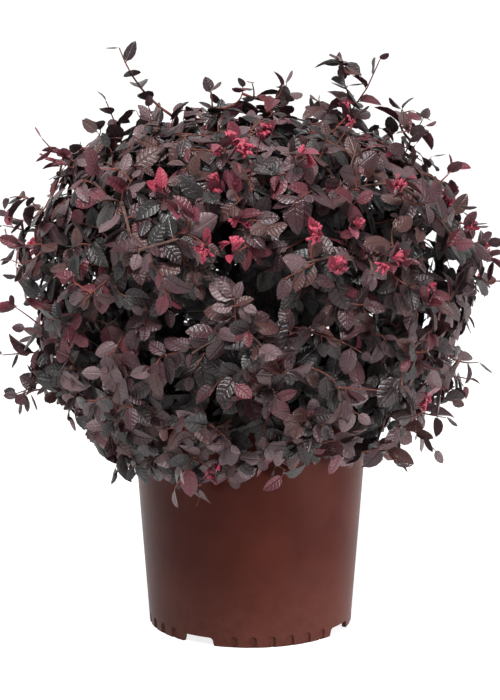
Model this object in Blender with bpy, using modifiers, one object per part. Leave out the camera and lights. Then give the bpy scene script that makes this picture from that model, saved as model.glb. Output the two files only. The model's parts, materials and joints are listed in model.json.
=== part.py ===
"""A loropetalum shrub in its nursery pot, at real size in metres.

The origin is the centre of the pot's base at ground level. +Z is up, -Y is the front and +X the right.
The pot is a three-gallon nursery pot that stands on a notched foot. Potting mix fills it to below the
rim. One short trunk carries a bough for each mass of foliage, and every mass keeps to its own cell of
the crown: the points that lie nearer to its centre than to any other centre.
"""

import math
import random

import bmesh
import bpy
from mathutils import Matrix, Vector
from mathutils.bvhtree import BVHTree

# Pot
POT_HEIGHT = 0.240
BASE_RADIUS = 0.1125
BODY_RADIUS = 0.130
WALL = 0.002
LIP_OUT = 0.008
LIP_DROP = 0.012
FOOT_WIDTH = 0.005
FLOOR_UNDER = 0.0105
POT_STEPS = 36
NOTCH_HEIGHT = 0.009
NOTCH_WIDTH = 0.036
NOTCH_SLANT = 0.003
NOTCH_FIRST_DEG = -30
NOTCHES = 4
DRAIN_RADIUS = 0.006
DRAIN_RING = 0.078
DRAIN_SIDES = 10
DRAIN_DEPTH = 0.016

# Clearance between neighbouring solids
GAP = 0.0003

# Potting mix and the limbs
SOIL_TOP = 0.215
TRUNK_HEIGHT = 0.057
TRUNK_LEAN = 0.004
TRUNK_SECTIONS = ((0, 0.0210), (0.004, 0.0175), (0.012, 0.0150), (0.025, 0.0135), (0.057, 0.0105))
BOUGH_BASE = 0.0046
BOUGH_TIP = 0.0026
BOUGH_FOOT = (0.232, 0.266)
BOUGH_OUT = (0.42, 0.22)
BOUGH_UP = (0.018, 0.093)
BOUGH_STEPS = 5
ENTRY_STEPS = 40
STEM_LENGTH = 0.058

# Crown: a mound that is round from above, with a superellipse as its upright section
CROWN_MIDDLE = 0.375
CROWN_RADIUS = 0.262
CROWN_HALF_HEIGHT = 0.215
CROWN_POWER = 2.4
LEAVES_OUT = 0.012
LEADERS_OUT = 0.200
FURTHEST = 0.286
SPACE_MARGIN = 0.0008
POT_CLEAR = 0.004

# Foliage masses: name, count, distance of the centres from the axis, their height, first azimuth.
# BOUGH_FOOT, BOUGH_OUT and BOUGH_UP above are for the lowest and the highest of these centres.
RINGS = (
    ("foliage_lower", 6, 0.168, 0.288, 4),
    ("foliage_upper", 5, 0.146, 0.424, 30),
    ("foliage_top", 1, 0.0, 0.500, 0),
)
CORE_SHARE = 0.74
CORE_MOST = 0.120
CORE_STEP = 0.004
CORE_LIMB_CLEAR = 0.008
CORE_SHRINK = 0.95
LIMB_CLEAR = 0.0015

# Twigs and leaves
CROWN_TWIGS = 146
LEAVES_PER_TWIG = 4
TWIG_BASE = 0.0026
TWIG_TIP = 0.0017
LEAF_LENGTH = 0.056
LEAF_WIDTH = 0.037
LEAF_THICKNESS = 0.0018
LEAF_FOLD = 0.10
LEAF_WIDEST_AT = 0.44
LEAF_SUNK = 0.0008
TIP_LEAF_SUNK = 0.0022
LEAF_SPACING = 0.025
LEAF_TRIES = 40
SMALL_LEAF = 0.7
TWIG_SHORT = 0.75
LEADER_SHORT = 0.97
LEAST_TWIG = 0.3
TIP_LEAF_SPREAD = 1.2
SIDE_LEAF_SPREAD = (0.8, 2.2)
LEAF_DROOP = (0.1, 0.5)
LEAF_FACING_UP = 0.4
LEAF_FACING_OUT = 0.2
BARE_SHARE = 0.35
BARE_ON_LEADER = 0.42
JOINTS_PER_TWIG = 4
TWIG_SAMPLES = 8
NEAR_THE_STEM = 0.3
SEED = 58

# Leader shoots that stand out of the mound: azimuth of the tip, its distance from the axis, its height
LEADERS = (
    (-92, 0.143, 0.640),
    (88, 0.146, 0.626),
    (-98, 0.172, 0.588),
    (-50, 0.050, 0.594),
    (60, 0.044, 0.592),
    (-86, 0.236, 0.536),
    (84, 0.205, 0.560),
    (-84, 0.278, 0.482),
    (93, 0.246, 0.487),
    (-96, 0.284, 0.428),
    (86, 0.284, 0.374),
    (-88, 0.284, 0.300),
    (94, 0.270, 0.272),
    (-94, 0.278, 0.250),
    (84, 0.232, 0.190),
    (8, 0.284, 0.330),
    (176, 0.284, 0.350),
    (150, 0.262, 0.470),
    (30, 0.262, 0.440),
    (196, 0.180, 0.585),
    (-20, 0.240, 0.195),
)
LEADER_LEAVES = 4


def polar(azimuth, distance, height):
    """The point at an azimuth in degrees, where 0 is the front (-Y) and 90 is the right (+X)."""
    angle = math.radians(azimuth)
    return Vector((distance * math.sin(angle), -distance * math.cos(angle), height))


def new_collection(name):
    collection = bpy.data.collections.new(name)
    bpy.context.scene.collection.children.link(collection)
    return collection


def make_material(name, colour, roughness):
    material = bpy.data.materials.new(name)
    material.use_nodes = True
    shader = material.node_tree.nodes["Principled BSDF"]
    shader.inputs["Base Color"].default_value = (*colour, 1)
    shader.inputs["Roughness"].default_value = roughness
    shader.inputs["Metallic"].default_value = 0
    return material


def add_object(name, mesh, collection, material=None):
    obj = bpy.data.objects.new(name, mesh)
    collection.objects.link(obj)
    if material:
        mesh.materials.clear()
        mesh.materials.append(material)
    return obj


def mesh_from(shape, name):
    """A mesh from a bmesh, which is freed."""
    mesh = bpy.data.meshes.new(name)
    shape.to_mesh(mesh)
    shape.free()
    return mesh


def turned(name, profile, collection, material):
    """A solid turned about Z from (radius, height) points that run down its outer side."""
    shape = bmesh.new()
    corners = [shape.verts.new((radius, 0, height)) for radius, height in profile]
    for start, end in zip(corners, corners[1:]):
        shape.edges.new((start, end))
    obj = add_object(name, mesh_from(shape, name), collection, material)
    screw = obj.modifiers.new("turn", "SCREW")
    screw.steps = screw.render_steps = POT_STEPS
    screw.use_merge_vertices = True
    screw.merge_threshold = 0.00005
    return obj


def made_mesh(obj):
    """The mesh that an object shows, with its modifiers and its curve worked out."""
    graph = bpy.context.evaluated_depsgraph_get()
    return bpy.data.meshes.new_from_object(obj.evaluated_get(graph))


def tube_mesh(name, points, radii, resolution):
    """A tapering tube along the points, as a closed mesh."""
    curve = bpy.data.curves.new(name, "CURVE")
    curve.dimensions = "3D"
    curve.bevel_depth = 1
    curve.bevel_resolution = resolution
    curve.use_fill_caps = True
    spline = curve.splines.new("POLY")
    spline.points.add(len(points) - 1)
    for knot, point, radius in zip(spline.points, points, radii):
        knot.co = (*point, 1)
        knot.radius = radius
    guide = add_object(name, curve, bpy.context.scene.collection)
    mesh = made_mesh(guide)
    bpy.data.objects.remove(guide)
    bpy.data.curves.remove(curve)
    shape = bmesh.new()
    shape.from_mesh(mesh)
    bmesh.ops.remove_doubles(shape, verts=shape.verts, dist=0.00001)
    bmesh.ops.recalc_face_normals(shape, faces=shape.faces)
    shape.to_mesh(mesh)
    shape.free()
    return mesh


def make_cutter(name, mesh, collection):
    cutter = add_object(name, mesh, collection)
    cutter.hide_render = True
    cutter.display_type = "WIRE"
    return cutter


def body_radius(height):
    """Outer radius of the pot's wall at a height."""
    return BASE_RADIUS + (BODY_RADIUS - BASE_RADIUS) * height / POT_HEIGHT


def pot_profile():
    """From the middle of the floor up the inside, over the rolled lip, down the outside and under."""
    floor_top = FLOOR_UNDER + WALL
    lip_radius = BODY_RADIUS + LIP_OUT
    lip_bottom = POT_HEIGHT - LIP_DROP
    edge = WALL / 2
    return (
        (0, floor_top),
        (body_radius(floor_top) - WALL, floor_top),
        (BODY_RADIUS - WALL, POT_HEIGHT - edge),
        (BODY_RADIUS - edge, POT_HEIGHT),
        (lip_radius - edge, POT_HEIGHT),
        (lip_radius, POT_HEIGHT - edge),
        (lip_radius, lip_bottom),
        (lip_radius - WALL, lip_bottom),
        (lip_radius - WALL, POT_HEIGHT - WALL),
        (BODY_RADIUS, POT_HEIGHT - WALL),
        (body_radius(POT_HEIGHT / 2), POT_HEIGHT / 2),
        (BASE_RADIUS, edge),
        (BASE_RADIUS - edge, 0),
        (BASE_RADIUS - FOOT_WIDTH, 0),
        (BASE_RADIUS - FOOT_WIDTH, FLOOR_UNDER),
        (0, FLOOR_UNDER),
    )


def notch_mesh():
    """A block whose ends slant, wider at the bottom, that reaches through the foot."""
    shape = bmesh.new()
    bmesh.ops.create_cube(shape, size=1)
    for corner in shape.verts:
        width = NOTCH_WIDTH / 2 + (NOTCH_SLANT if corner.co.z < 0 else 0)
        corner.co.x = math.copysign(width, corner.co.x)
        corner.co.y = -BASE_RADIUS + 2 * FOOT_WIDTH * math.copysign(1, corner.co.y)
        corner.co.z = NOTCH_HEIGHT if corner.co.z > 0 else -NOTCH_HEIGHT
    return mesh_from(shape, "notch")


def drain_mesh():
    shape = bmesh.new()
    bmesh.ops.create_cone(
        shape,
        cap_ends=True,
        segments=DRAIN_SIDES,
        radius1=DRAIN_RADIUS,
        radius2=DRAIN_RADIUS,
        depth=DRAIN_DEPTH,
    )
    return mesh_from(shape, "drain")


def make_pot(collection, cutters, material):
    pot = turned("pot", pot_profile(), collection, material)
    notch = notch_mesh()
    drain = drain_mesh()
    for number in range(NOTCHES):
        azimuth = NOTCH_FIRST_DEG + number * 360 / NOTCHES
        cut = make_cutter(f"notch_{number + 1}", notch, cutters)
        cut.rotation_euler.z = math.radians(azimuth)
        hole = make_cutter(f"drain_{number + 1}", drain, cutters)
        hole.location = polar(azimuth, DRAIN_RING, FLOOR_UNDER)
    cut = pot.modifiers.new("notches and drain holes", "BOOLEAN")
    cut.operation = "DIFFERENCE"
    cut.operand_type = "COLLECTION"
    cut.collection = cutters


def make_soil(collection, material):
    """Potting mix that fills the pot, clear of its wall and floor."""
    bottom = FLOOR_UNDER + WALL + GAP
    inset = WALL + 2 * GAP
    profile = (
        (0, SOIL_TOP),
        (body_radius(SOIL_TOP) - inset, SOIL_TOP),
        (body_radius(bottom) - inset, bottom),
        (0, bottom),
    )
    turned("soil", profile, collection, material)


def trunk_line(extra=0.0):
    """Points and radii of the trunk, from its flat cut on the potting mix to its fork."""
    foot = SOIL_TOP + GAP
    points = []
    for height, _ in TRUNK_SECTIONS:
        share = height / TRUNK_HEIGHT
        points.append(Vector((TRUNK_LEAN * share * share, 0, foot + height)))
    points[0].z -= extra
    points[-1].z += extra
    return points, [radius + extra for _, radius in TRUNK_SECTIONS]


def mix(pair, share):
    """The value between a pair's two ends at a share of the way."""
    return pair[0] + (pair[1] - pair[0]) * share


def bend(start, middle, end, share):
    """A point on the smooth arc that leaves the start towards the middle."""
    return start.lerp(middle, share).lerp(middle.lerp(end, share), share)


def bough_line(centre):
    """Points and radii of the bough to a mass, which ends where it enters the mass."""
    heights = [ring[3] for ring in RINGS]
    rise = (centre.z - min(heights)) / (max(heights) - min(heights))
    start = Vector((TRUNK_LEAN / 2, 0, mix(BOUGH_FOOT, rise)))
    out = Vector((centre.x, centre.y, 0)) * mix(BOUGH_OUT, rise)
    middle = start + out + Vector((0, 0, mix(BOUGH_UP, rise)))
    entry = 1.0
    while (bend(start, middle, centre, entry) - centre).length < STEM_LENGTH:
        entry -= 1 / ENTRY_STEPS
    shares = [step / BOUGH_STEPS for step in range(BOUGH_STEPS + 1)]
    points = [bend(start, middle, centre, entry * share) for share in shares]
    return points, [mix((BOUGH_BASE, BOUGH_TIP), share) for share in shares]


def touch_tree(mesh, frame):
    """A tree for touch tests of a mesh in its place."""
    corners = [frame @ corner.co for corner in mesh.vertices]
    return BVHTree.FromPolygons(corners, [tuple(face.vertices) for face in mesh.polygons])


def limb_tree(points, radii):
    """A touch tree round a limb, wider than the limb by the clearance that foliage keeps to it."""
    return touch_tree(tube_mesh("clearance", points, [radius + LIMB_CLEAR for radius in radii], 1), Matrix())


def mass_centres():
    """Each mass's name and centre."""
    centres = {}
    for name, count, distance, height, first in RINGS:
        for number in range(count):
            label = f"{name}_{number + 1}" if count > 1 else name
            centres[label] = polar(first + number * 360 / count, distance, height)
    return centres


def mound_size(offset):
    """1 on the mound's surface, less inside it, for an offset from the mound's middle."""
    radial = math.hypot(offset.x, offset.y) / CROWN_RADIUS
    upright = abs(offset.z) / CROWN_HALF_HEIGHT
    return (radial**CROWN_POWER + upright**CROWN_POWER) ** (1 / CROWN_POWER)


def depth_in_crown(point):
    """How far the point is inside the mound's surface, about, in metres."""
    return (1 - mound_size(point - Vector((0, 0, CROWN_MIDDLE)))) * CROWN_HALF_HEIGHT


def clear_of_pot(point):
    outside = math.hypot(point.x, point.y) > BODY_RADIUS + LIP_OUT + POT_CLEAR
    return outside or point.z > POT_HEIGHT + POT_CLEAR


class Space:
    """The cell of the crown that one mass keeps to."""

    def __init__(self, own, centres):
        self.walls = []
        for other in centres:
            if other != own:
                self.walls.append(((own + other) / 2, (other - own).normalized()))

    def in_cell(self, point):
        return all((point - wall).dot(normal) < -SPACE_MARGIN for wall, normal in self.walls)

    def holds(self, points, beyond):
        """Whether all points are in the cell, clear of the pot and at most this far out of the mound."""
        for point in points:
            if depth_in_crown(point) < -beyond or not clear_of_pot(point):
                return False
            if not self.in_cell(point) or math.hypot(point.x, point.y) > FURTHEST:
                return False
        return True


def leaf_pattern():
    """A leaf of 6 faces along +Y, folded along a keel under its midrib, widest below its middle."""
    widest = LEAF_WIDEST_AT * LEAF_LENGTH
    shape = bmesh.new()
    bmesh.ops.create_uvsphere(shape, u_segments=3, v_segments=2, radius=1)
    for corner in shape.verts:
        across, along = corner.co.y, corner.co.z
        if abs(along) > 0.5:
            corner.co = (0, (0.5 + 0.5 * along) * LEAF_LENGTH, 0)
        elif abs(across) > 0.5:
            corner.co = (math.copysign(LEAF_WIDTH / 2, across), widest, LEAF_FOLD * LEAF_WIDTH)
        else:
            corner.co = (0, widest, -LEAF_THICKNESS)
    bmesh.ops.recalc_face_normals(shape, faces=shape.faces)
    return mesh_from(shape, "leaf")


def leaf_frame(root, direction, face, sunk, size):
    """A matrix that puts the leaf's root at a point, its length along the direction, its top to the face."""
    along = direction.normalized()
    side = along.cross(face).normalized()
    up = side.cross(along)
    frame = Matrix((side * size, along * size, up)).transposed().to_4x4()
    frame.translation = root - along * sunk
    return frame


def twig_mesh(start, end, base, tip):
    """A three-sided twig from start to end."""
    shape = bmesh.new()
    run = end - start
    frame = run.to_track_quat("Z", "Y").to_matrix().to_4x4()
    frame.translation = (start + end) / 2
    bmesh.ops.create_cone(
        shape,
        cap_ends=True,
        segments=3,
        radius1=base,
        radius2=tip,
        depth=run.length,
        matrix=frame,
    )
    return mesh_from(shape, "twig")


def samples(start, end, count):
    return [start.lerp(end, step / count) for step in range(count + 1)]


def crown_targets():
    """Points spread evenly over the mound's surface, by a golden spiral on a ball."""
    turn = math.pi * (3 - math.sqrt(5))
    targets = []
    for number in range(CROWN_TWIGS):
        height = 1 - 2 * (number + 0.5) / CROWN_TWIGS
        flat = math.sqrt(1 - height * height)
        angle = number * turn
        direction = Vector((flat * math.cos(angle), flat * math.sin(angle), height))
        targets.append(Vector((0, 0, CROWN_MIDDLE)) + direction / mound_size(direction))
    return targets


class Mass:
    """One mass of foliage: a stem, a core, twigs and leaves that are fused into one solid."""

    def __init__(self, name, centre, space, limbs, leaf, number):
        self.name = name
        self.centre = centre
        self.space = space
        self.limbs = limbs
        self.leaf = leaf
        self.rng = random.Random(SEED + number)
        self.pieces = new_collection(f"{name}_pieces")
        self.leaf_middles = []
        self.trees = []
        self.core_size = 1.0

    def add_piece(self, mesh, frame):
        piece = add_object(f"{self.name}_piece", mesh, self.pieces)
        piece.matrix_world = frame

    def add_leaf(self, root, direction, face, beyond, sunk, size):
        """Adds a leaf if it keeps to the mass's space, clear of limbs and of the pieces before it."""
        frame = leaf_frame(root, direction, face, sunk, size)
        corners = [frame @ corner.co for corner in self.leaf.vertices]
        ribs = [frame @ Vector((0, LEAF_LENGTH * share, 0)) for share in (0.25, 0.5, 0.75)]
        middle = ribs[1]
        if any((middle - other).length < LEAF_SPACING for other in self.leaf_middles):
            return False
        if (middle - self.centre).length < self.core_reach((middle - self.centre).normalized()):
            return False
        if not self.space.holds(corners + ribs, beyond):
            return False
        tree = touch_tree(self.leaf, frame)
        if any(tree.overlap(other) for other in self.trees + self.limbs):
            return False
        self.add_piece(self.leaf, frame)
        self.leaf_middles.append(middle)
        self.trees.append(tree)
        return True

    def joint_for(self, target):
        """Where a twig to this target leaves the twigs so far: a near point, and one near the stem."""

        def cost(joint):
            return (target - joint).length + NEAR_THE_STEM * (joint - self.centre).length

        return min(self.joints, key=cost)

    def add_twig(self, target, short, leaves, bare, beyond):
        """A twig towards a target, with leaves in two ranks past its bare share and one at its tip."""
        start = self.joint_for(target)
        run = target - start
        end = start + run * max(LEAST_TWIG, 1 - short / run.length)
        twig = twig_mesh(start, end, TWIG_BASE, TWIG_TIP)
        twig_tree = touch_tree(twig, Matrix())
        in_space = self.space.holds(samples(start, end, TWIG_SAMPLES), beyond)
        if not in_space or any(twig_tree.overlap(limb) for limb in self.limbs):
            return
        self.joints += samples(start, end, JOINTS_PER_TWIG)[1:-1]
        self.add_piece(twig, Matrix())
        along = (end - start).normalized()
        outward = (end - Vector((0, 0, CROWN_MIDDLE))).normalized()
        rank = self.rng.uniform(0, math.tau)
        for number in range(leaves + 1):
            at_tip = number == 0
            root = end.lerp(start, (1 - bare) * number / leaves)
            for attempt in range(LEAF_TRIES):
                tried = attempt / LEAF_TRIES
                size = 1 if tried < 0.5 else SMALL_LEAF
                around = rank + number * math.pi + self.rng.uniform(-math.pi, math.pi) * tried
                side = Matrix.Rotation(around, 3, along) @ along.orthogonal().normalized()
                spread = tried * TIP_LEAF_SPREAD if at_tip else self.rng.uniform(*SIDE_LEAF_SPREAD)
                droop = Vector((0, 0, -self.rng.uniform(*LEAF_DROOP)))
                face = outward + Vector((0, 0, LEAF_FACING_UP)) + side * LEAF_FACING_OUT
                sunk = TIP_LEAF_SUNK if at_tip else LEAF_SUNK
                if self.add_leaf(root, along + side * spread + droop, face, beyond, sunk, size):
                    break
        self.trees.append(twig_tree)

    def grow(self, bough_tip, targets, leaders):
        """The stem from the bough's tip to the centre, the core round it, then the twigs."""
        start = bough_tip + (self.centre - bough_tip).normalized() * GAP
        self.stem = twig_mesh(start, self.centre, BOUGH_TIP, BOUGH_TIP * 0.8)
        self.joints = [self.centre]
        self.add_piece(self.core_mesh(), Matrix())
        for tip in leaders:
            self.add_twig(tip, LEADER_SHORT * LEAF_LENGTH, LEADER_LEAVES, BARE_ON_LEADER, LEADERS_OUT)
        for target in sorted(targets, key=lambda point: (point - self.centre).length):
            self.add_twig(target, TWIG_SHORT * LEAF_LENGTH, LEAVES_PER_TWIG, BARE_SHARE, LEAVES_OUT)

    def core_reach(self, direction):
        """How far the core reaches from the mass's centre in a direction: a share of the room there."""
        reach = 0.0
        while reach < CORE_MOST:
            point = self.centre + direction * reach
            if not self.space.holds([point], 0):
                break
            if any(limb.find_nearest(point, CORE_LIMB_CLEAR)[0] for limb in self.limbs):
                break
            reach += CORE_STEP
        return reach * CORE_SHARE * self.core_size

    def core_mesh(self):
        """A ball drawn out on each side to the core's reach, smaller until no limb touches it."""
        ball = bmesh.new()
        bmesh.ops.create_icosphere(ball, subdivisions=2, radius=1)
        for corner in ball.verts:
            corner.co *= self.core_reach(corner.co.normalized())
        core = mesh_from(ball, "core")
        place = Matrix.Translation(self.centre)
        while any(touch_tree(core, place).overlap(limb) for limb in self.limbs):
            core.transform(Matrix.Scale(CORE_SHRINK, 4))
            self.core_size *= CORE_SHRINK
        core.transform(place)
        return core

    def fuse(self, collection, material):
        """Joins the pieces to the stem and keeps the one outer skin."""
        mass = add_object(self.name, self.stem, collection, material)
        union = mass.modifiers.new("fuse", "BOOLEAN")
        union.operation = "UNION"
        union.operand_type = "COLLECTION"
        union.collection = self.pieces
        union.solver = "MANIFOLD"
        fused = made_mesh(mass)
        mass.modifiers.clear()
        mass.data = fused
        keep_largest_skin(fused)
        fused.materials.clear()
        fused.materials.append(material)
        for piece in list(self.pieces.objects):
            bpy.data.objects.remove(piece)
        bpy.data.collections.remove(self.pieces)


def keep_largest_skin(mesh):
    """Fills sealed hollows and drops loose scraps: only the skin with the most volume stays."""
    shape = bmesh.new()
    shape.from_mesh(mesh)
    bmesh.ops.triangulate(shape, faces=shape.faces)
    waiting = set(shape.faces)
    skins = []
    while waiting:
        skin = []
        front = [waiting.pop()]
        while front:
            face = front.pop()
            skin.append(face)
            for edge in face.edges:
                for neighbour in edge.link_faces:
                    if neighbour in waiting:
                        waiting.remove(neighbour)
                        front.append(neighbour)
        skins.append(skin)
    skins.sort(key=skin_volume)
    for skin in skins[:-1]:
        bmesh.ops.delete(shape, geom=skin, context="FACES")
    shape.to_mesh(mesh)
    shape.free()


def skin_volume(skin):
    corners = [[vertex.co for vertex in face.verts] for face in skin]
    return sum(a.dot(b.cross(c)) for a, b, c in corners) / 6


def make_limbs(collection, cutters, material, centres):
    """The trunk and one bough a mass, cut clear of the trunk. Returns a touch tree of each."""
    points, radii = trunk_line()
    limbs = [limb_tree(points, radii)]
    add_object("trunk", tube_mesh("trunk", points, radii, 4), collection, material)
    clearance = make_cutter("trunk_clearance", tube_mesh("clearance", *trunk_line(GAP), 4), cutters)
    for name, centre in centres.items():
        points, radii = bough_line(centre)
        limbs.append(limb_tree(points, radii))
        label = name.replace("foliage", "bough")
        bough = add_object(label, tube_mesh(label, points, radii, 1), collection, material)
        cut = bough.modifiers.new("clear of the trunk", "BOOLEAN")
        cut.operation = "DIFFERENCE"
        cut.object = clearance
        bough["tip"] = points[-1]
    return limbs


def make_foliage(collection, material, centres, limbs):
    """Gives each target and leader to the mass whose cell it lies in, then grows and fuses the masses."""
    leaf = leaf_pattern()
    middles = list(centres.values())
    tips = [polar(*leader) for leader in LEADERS]
    targets = crown_targets()
    for number, (name, centre) in enumerate(centres.items()):
        space = Space(centre, middles)
        mass = Mass(name, centre, space, limbs, leaf, number)
        bough = bpy.data.objects[name.replace("foliage", "bough")]
        own_targets = [target for target in targets if space.in_cell(target)]
        own_leaders = [tip for tip in tips if space.in_cell(tip)]
        mass.grow(Vector(bough["tip"]), own_targets, own_leaders)
        print(name, "has", len(own_targets), "targets and", len(mass.leaf_middles), "leaves")
        mass.fuse(collection, material)


def main():
    for obj in list(bpy.data.objects):
        bpy.data.objects.remove(obj)
    plant = new_collection("potted_loropetalum")
    pot_cutters = new_collection("pot_cutters")
    limb_cutters = new_collection("limb_cutters")
    plastic = make_material("pot_plastic", (0.085, 0.027, 0.021), 0.42)
    mix = make_material("potting_mix", (0.030, 0.018, 0.012), 0.95)
    bark = make_material("bark", (0.105, 0.058, 0.040), 0.85)
    leaves = make_material("leaves", (0.048, 0.022, 0.028), 0.48)
    make_pot(plant, pot_cutters, plastic)
    make_soil(plant, mix)
    centres = mass_centres()
    limbs = make_limbs(plant, limb_cutters, bark, centres)
    make_foliage(plant, leaves, centres, limbs)


main()
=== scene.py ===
# %% [markdown]
# # A loropetalum shrub in its nursery pot
#
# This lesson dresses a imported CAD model: a young shrub with dark purple leaves, pink new growth and
# pink blossom, in a satin brown pot. The CAD model is the frame. It says how big every part is and
# where it stands, and nothing here moves or resizes it. All sizes are in metres. The origin is the
# middle of the pot's base, +Z is up, -Y is the front and +X the right.

# %% Load the frame
import json
import math
import random

import bmesh
import bpy
import numpy as np
from mathutils import Matrix, Quaternion, Vector, noise

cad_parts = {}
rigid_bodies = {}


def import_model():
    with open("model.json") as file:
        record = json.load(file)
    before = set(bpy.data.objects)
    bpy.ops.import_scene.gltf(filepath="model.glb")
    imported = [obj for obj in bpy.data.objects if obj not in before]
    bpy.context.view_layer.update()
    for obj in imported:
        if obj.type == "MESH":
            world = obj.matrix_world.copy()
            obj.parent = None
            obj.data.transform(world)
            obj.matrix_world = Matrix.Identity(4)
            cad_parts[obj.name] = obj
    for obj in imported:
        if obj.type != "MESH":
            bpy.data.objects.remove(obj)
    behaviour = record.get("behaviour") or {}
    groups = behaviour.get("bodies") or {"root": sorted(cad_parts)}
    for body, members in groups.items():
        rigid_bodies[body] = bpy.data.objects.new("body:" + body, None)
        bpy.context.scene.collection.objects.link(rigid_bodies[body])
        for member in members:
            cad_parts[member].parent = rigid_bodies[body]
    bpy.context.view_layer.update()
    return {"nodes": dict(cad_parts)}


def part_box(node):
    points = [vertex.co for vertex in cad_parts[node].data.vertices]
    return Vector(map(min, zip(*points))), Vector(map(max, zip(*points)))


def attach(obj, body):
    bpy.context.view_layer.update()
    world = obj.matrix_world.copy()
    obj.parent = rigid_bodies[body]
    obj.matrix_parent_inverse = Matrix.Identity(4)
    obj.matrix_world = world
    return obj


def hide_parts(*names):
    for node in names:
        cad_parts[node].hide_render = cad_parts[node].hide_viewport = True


for leftover in list(bpy.data.objects):
    bpy.data.objects.remove(leftover)
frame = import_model()
MASSES = sorted(name for name in frame["nodes"] if name.startswith("foliage"))
BOUGHS = sorted(name for name in frame["nodes"] if name.startswith("bough"))
print("CAD nodes:", len(frame["nodes"]), "of which foliage masses:", len(MASSES))

# %% [markdown]
# ## Camera
#
# A product photograph is taken from a little above and from some distance, which keeps the sides of the
# pot nearly upright in the picture. The lens follows from the pot's height in the picture, and the
# camera's tilt from how round the pot's base looks.

# %% Place the camera
CAMERA_PLACE = (-0.0004, -2.2, 0.682)
CAMERA_TILT_DEG = 80.25
CAMERA_LENS_MM = 104.6

scene = bpy.context.scene
camera = bpy.data.objects.new("camera", bpy.data.cameras.new("camera"))
scene.collection.objects.link(camera)
camera.location = CAMERA_PLACE
camera.rotation_euler = (math.radians(CAMERA_TILT_DEG), 0, 0)
camera.data.lens = CAMERA_LENS_MM
scene.camera = camera
print("Camera at", CAMERA_PLACE, "with a", CAMERA_LENS_MM, "mm lens")

# %% [markdown]
# ## Helpers for meshes and finishes
#
# Every piece becomes one mesh object at the origin, with its place in its mesh. A finish is a set of
# shader nodes. What is the same all over a surface goes straight into the shader's own sockets, and only
# what varies is linked, so that an export keeps it.


# %% Make a mesh object
def add_object(name, mesh):
    obj = bpy.data.objects.new(name, mesh)
    scene.collection.objects.link(obj)
    return obj


def mesh_from(shape, name):
    """A mesh from a bmesh, which is freed."""
    mesh = bpy.data.meshes.new(name)
    shape.to_mesh(mesh)
    shape.free()
    return mesh


def worked_out(obj, name):
    """Turns an object with modifiers into a plain mesh object of a new name."""
    graph = bpy.context.evaluated_depsgraph_get()
    mesh = bpy.data.meshes.new_from_object(obj.evaluated_get(graph))
    bpy.data.objects.remove(obj)
    mesh.name = name
    return add_object(name, mesh)


def smooth(mesh, sharp_deg=None):
    """Shades a mesh smooth, except at edges that turn by more than the angle."""
    mesh.polygons.foreach_set("use_smooth", [True] * len(mesh.polygons))
    if sharp_deg is not None:
        mesh.set_sharp_from_angle(angle=math.radians(sharp_deg))


def finish_piece(obj, slot, *nodes):
    """Attaches a piece to the plant's body and hides the parts it stands for; the slot is not used."""
    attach(obj, "root")
    if nodes:
        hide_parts(*nodes)
    obj.data.calc_loop_triangles()
    print(obj.name, "has", len(obj.data.loop_triangles), "triangles")


# %% Make a finish
def new_finish(name, colour, roughness, **sockets):
    """A material with plain values on its shader's own sockets."""
    material = bpy.data.materials.new(name)
    material.use_nodes = True
    shader = material.node_tree.nodes["Principled BSDF"]
    shader.inputs["Base Color"].default_value = (*colour, 1)
    shader.inputs["Roughness"].default_value = roughness
    for label, value in sockets.items():
        shader.inputs[label.replace("_", " ")].default_value = value
    return material


def place_coordinates(tree):
    return tree.nodes.new("ShaderNodeTexCoord").outputs["Object"]


def noise_texture(tree, where, scale, detail=4.0, rough=0.55):
    texture = tree.nodes.new("ShaderNodeTexNoise")
    texture.inputs["Scale"].default_value = scale
    texture.inputs["Detail"].default_value = detail
    texture.inputs["Roughness"].default_value = rough
    tree.links.new(where, texture.inputs["Vector"])
    return texture.outputs["Fac"]


def calculate(tree, operation, first, second=None):
    """A Math node on sockets or plain numbers."""
    node = tree.nodes.new("ShaderNodeMath")
    node.operation = operation
    for socket, value in zip(node.inputs, (first, second)):
        if isinstance(value, (int, float)):
            socket.default_value = value
        elif value is not None:
            tree.links.new(value, socket)
    return node.outputs["Value"]


def colour_ramp(tree, value, stops):
    """Colours by position: stops are (position, (red, green, blue))."""
    ramp = tree.nodes.new("ShaderNodeValToRGB")
    while len(ramp.color_ramp.elements) < len(stops):
        ramp.color_ramp.elements.new(0.5)
    for element, (position, colour) in zip(ramp.color_ramp.elements, stops):
        element.position = position
        element.color = (*colour, 1)
    tree.links.new(value, ramp.inputs["Fac"])
    return ramp.outputs["Color"]


def value_range(tree, value, low, high):
    """Maps 0..1 to low..high."""
    node = tree.nodes.new("ShaderNodeMapRange")
    node.inputs["To Min"].default_value = low
    node.inputs["To Max"].default_value = high
    tree.links.new(value, node.inputs["Value"])
    return node.outputs["Result"]


def add_bump(tree, height, distance, strength=1.0):
    bump = tree.nodes.new("ShaderNodeBump")
    bump.inputs["Distance"].default_value = distance
    bump.inputs["Strength"].default_value = strength
    tree.links.new(height, bump.inputs["Height"])
    tree.links.new(bump.outputs["Normal"], tree.nodes["Principled BSDF"].inputs["Normal"])


def feed(tree, value, label):
    tree.links.new(value, tree.nodes["Principled BSDF"].inputs[label])


# %% [markdown]
# ## The pot
#
# The pot is a thin moulded shell: a tapering wall, a lip that is rolled out and down, and a foot ring
# with four drain notches. Small arched dents run round the foot between the notches. A profile turned
# about the axis makes the shell, with round corners worked out as arcs. The lowest rows are close
# together, so that the dents can be pressed into them, and a Boolean cuts the notches and drain holes.

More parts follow.
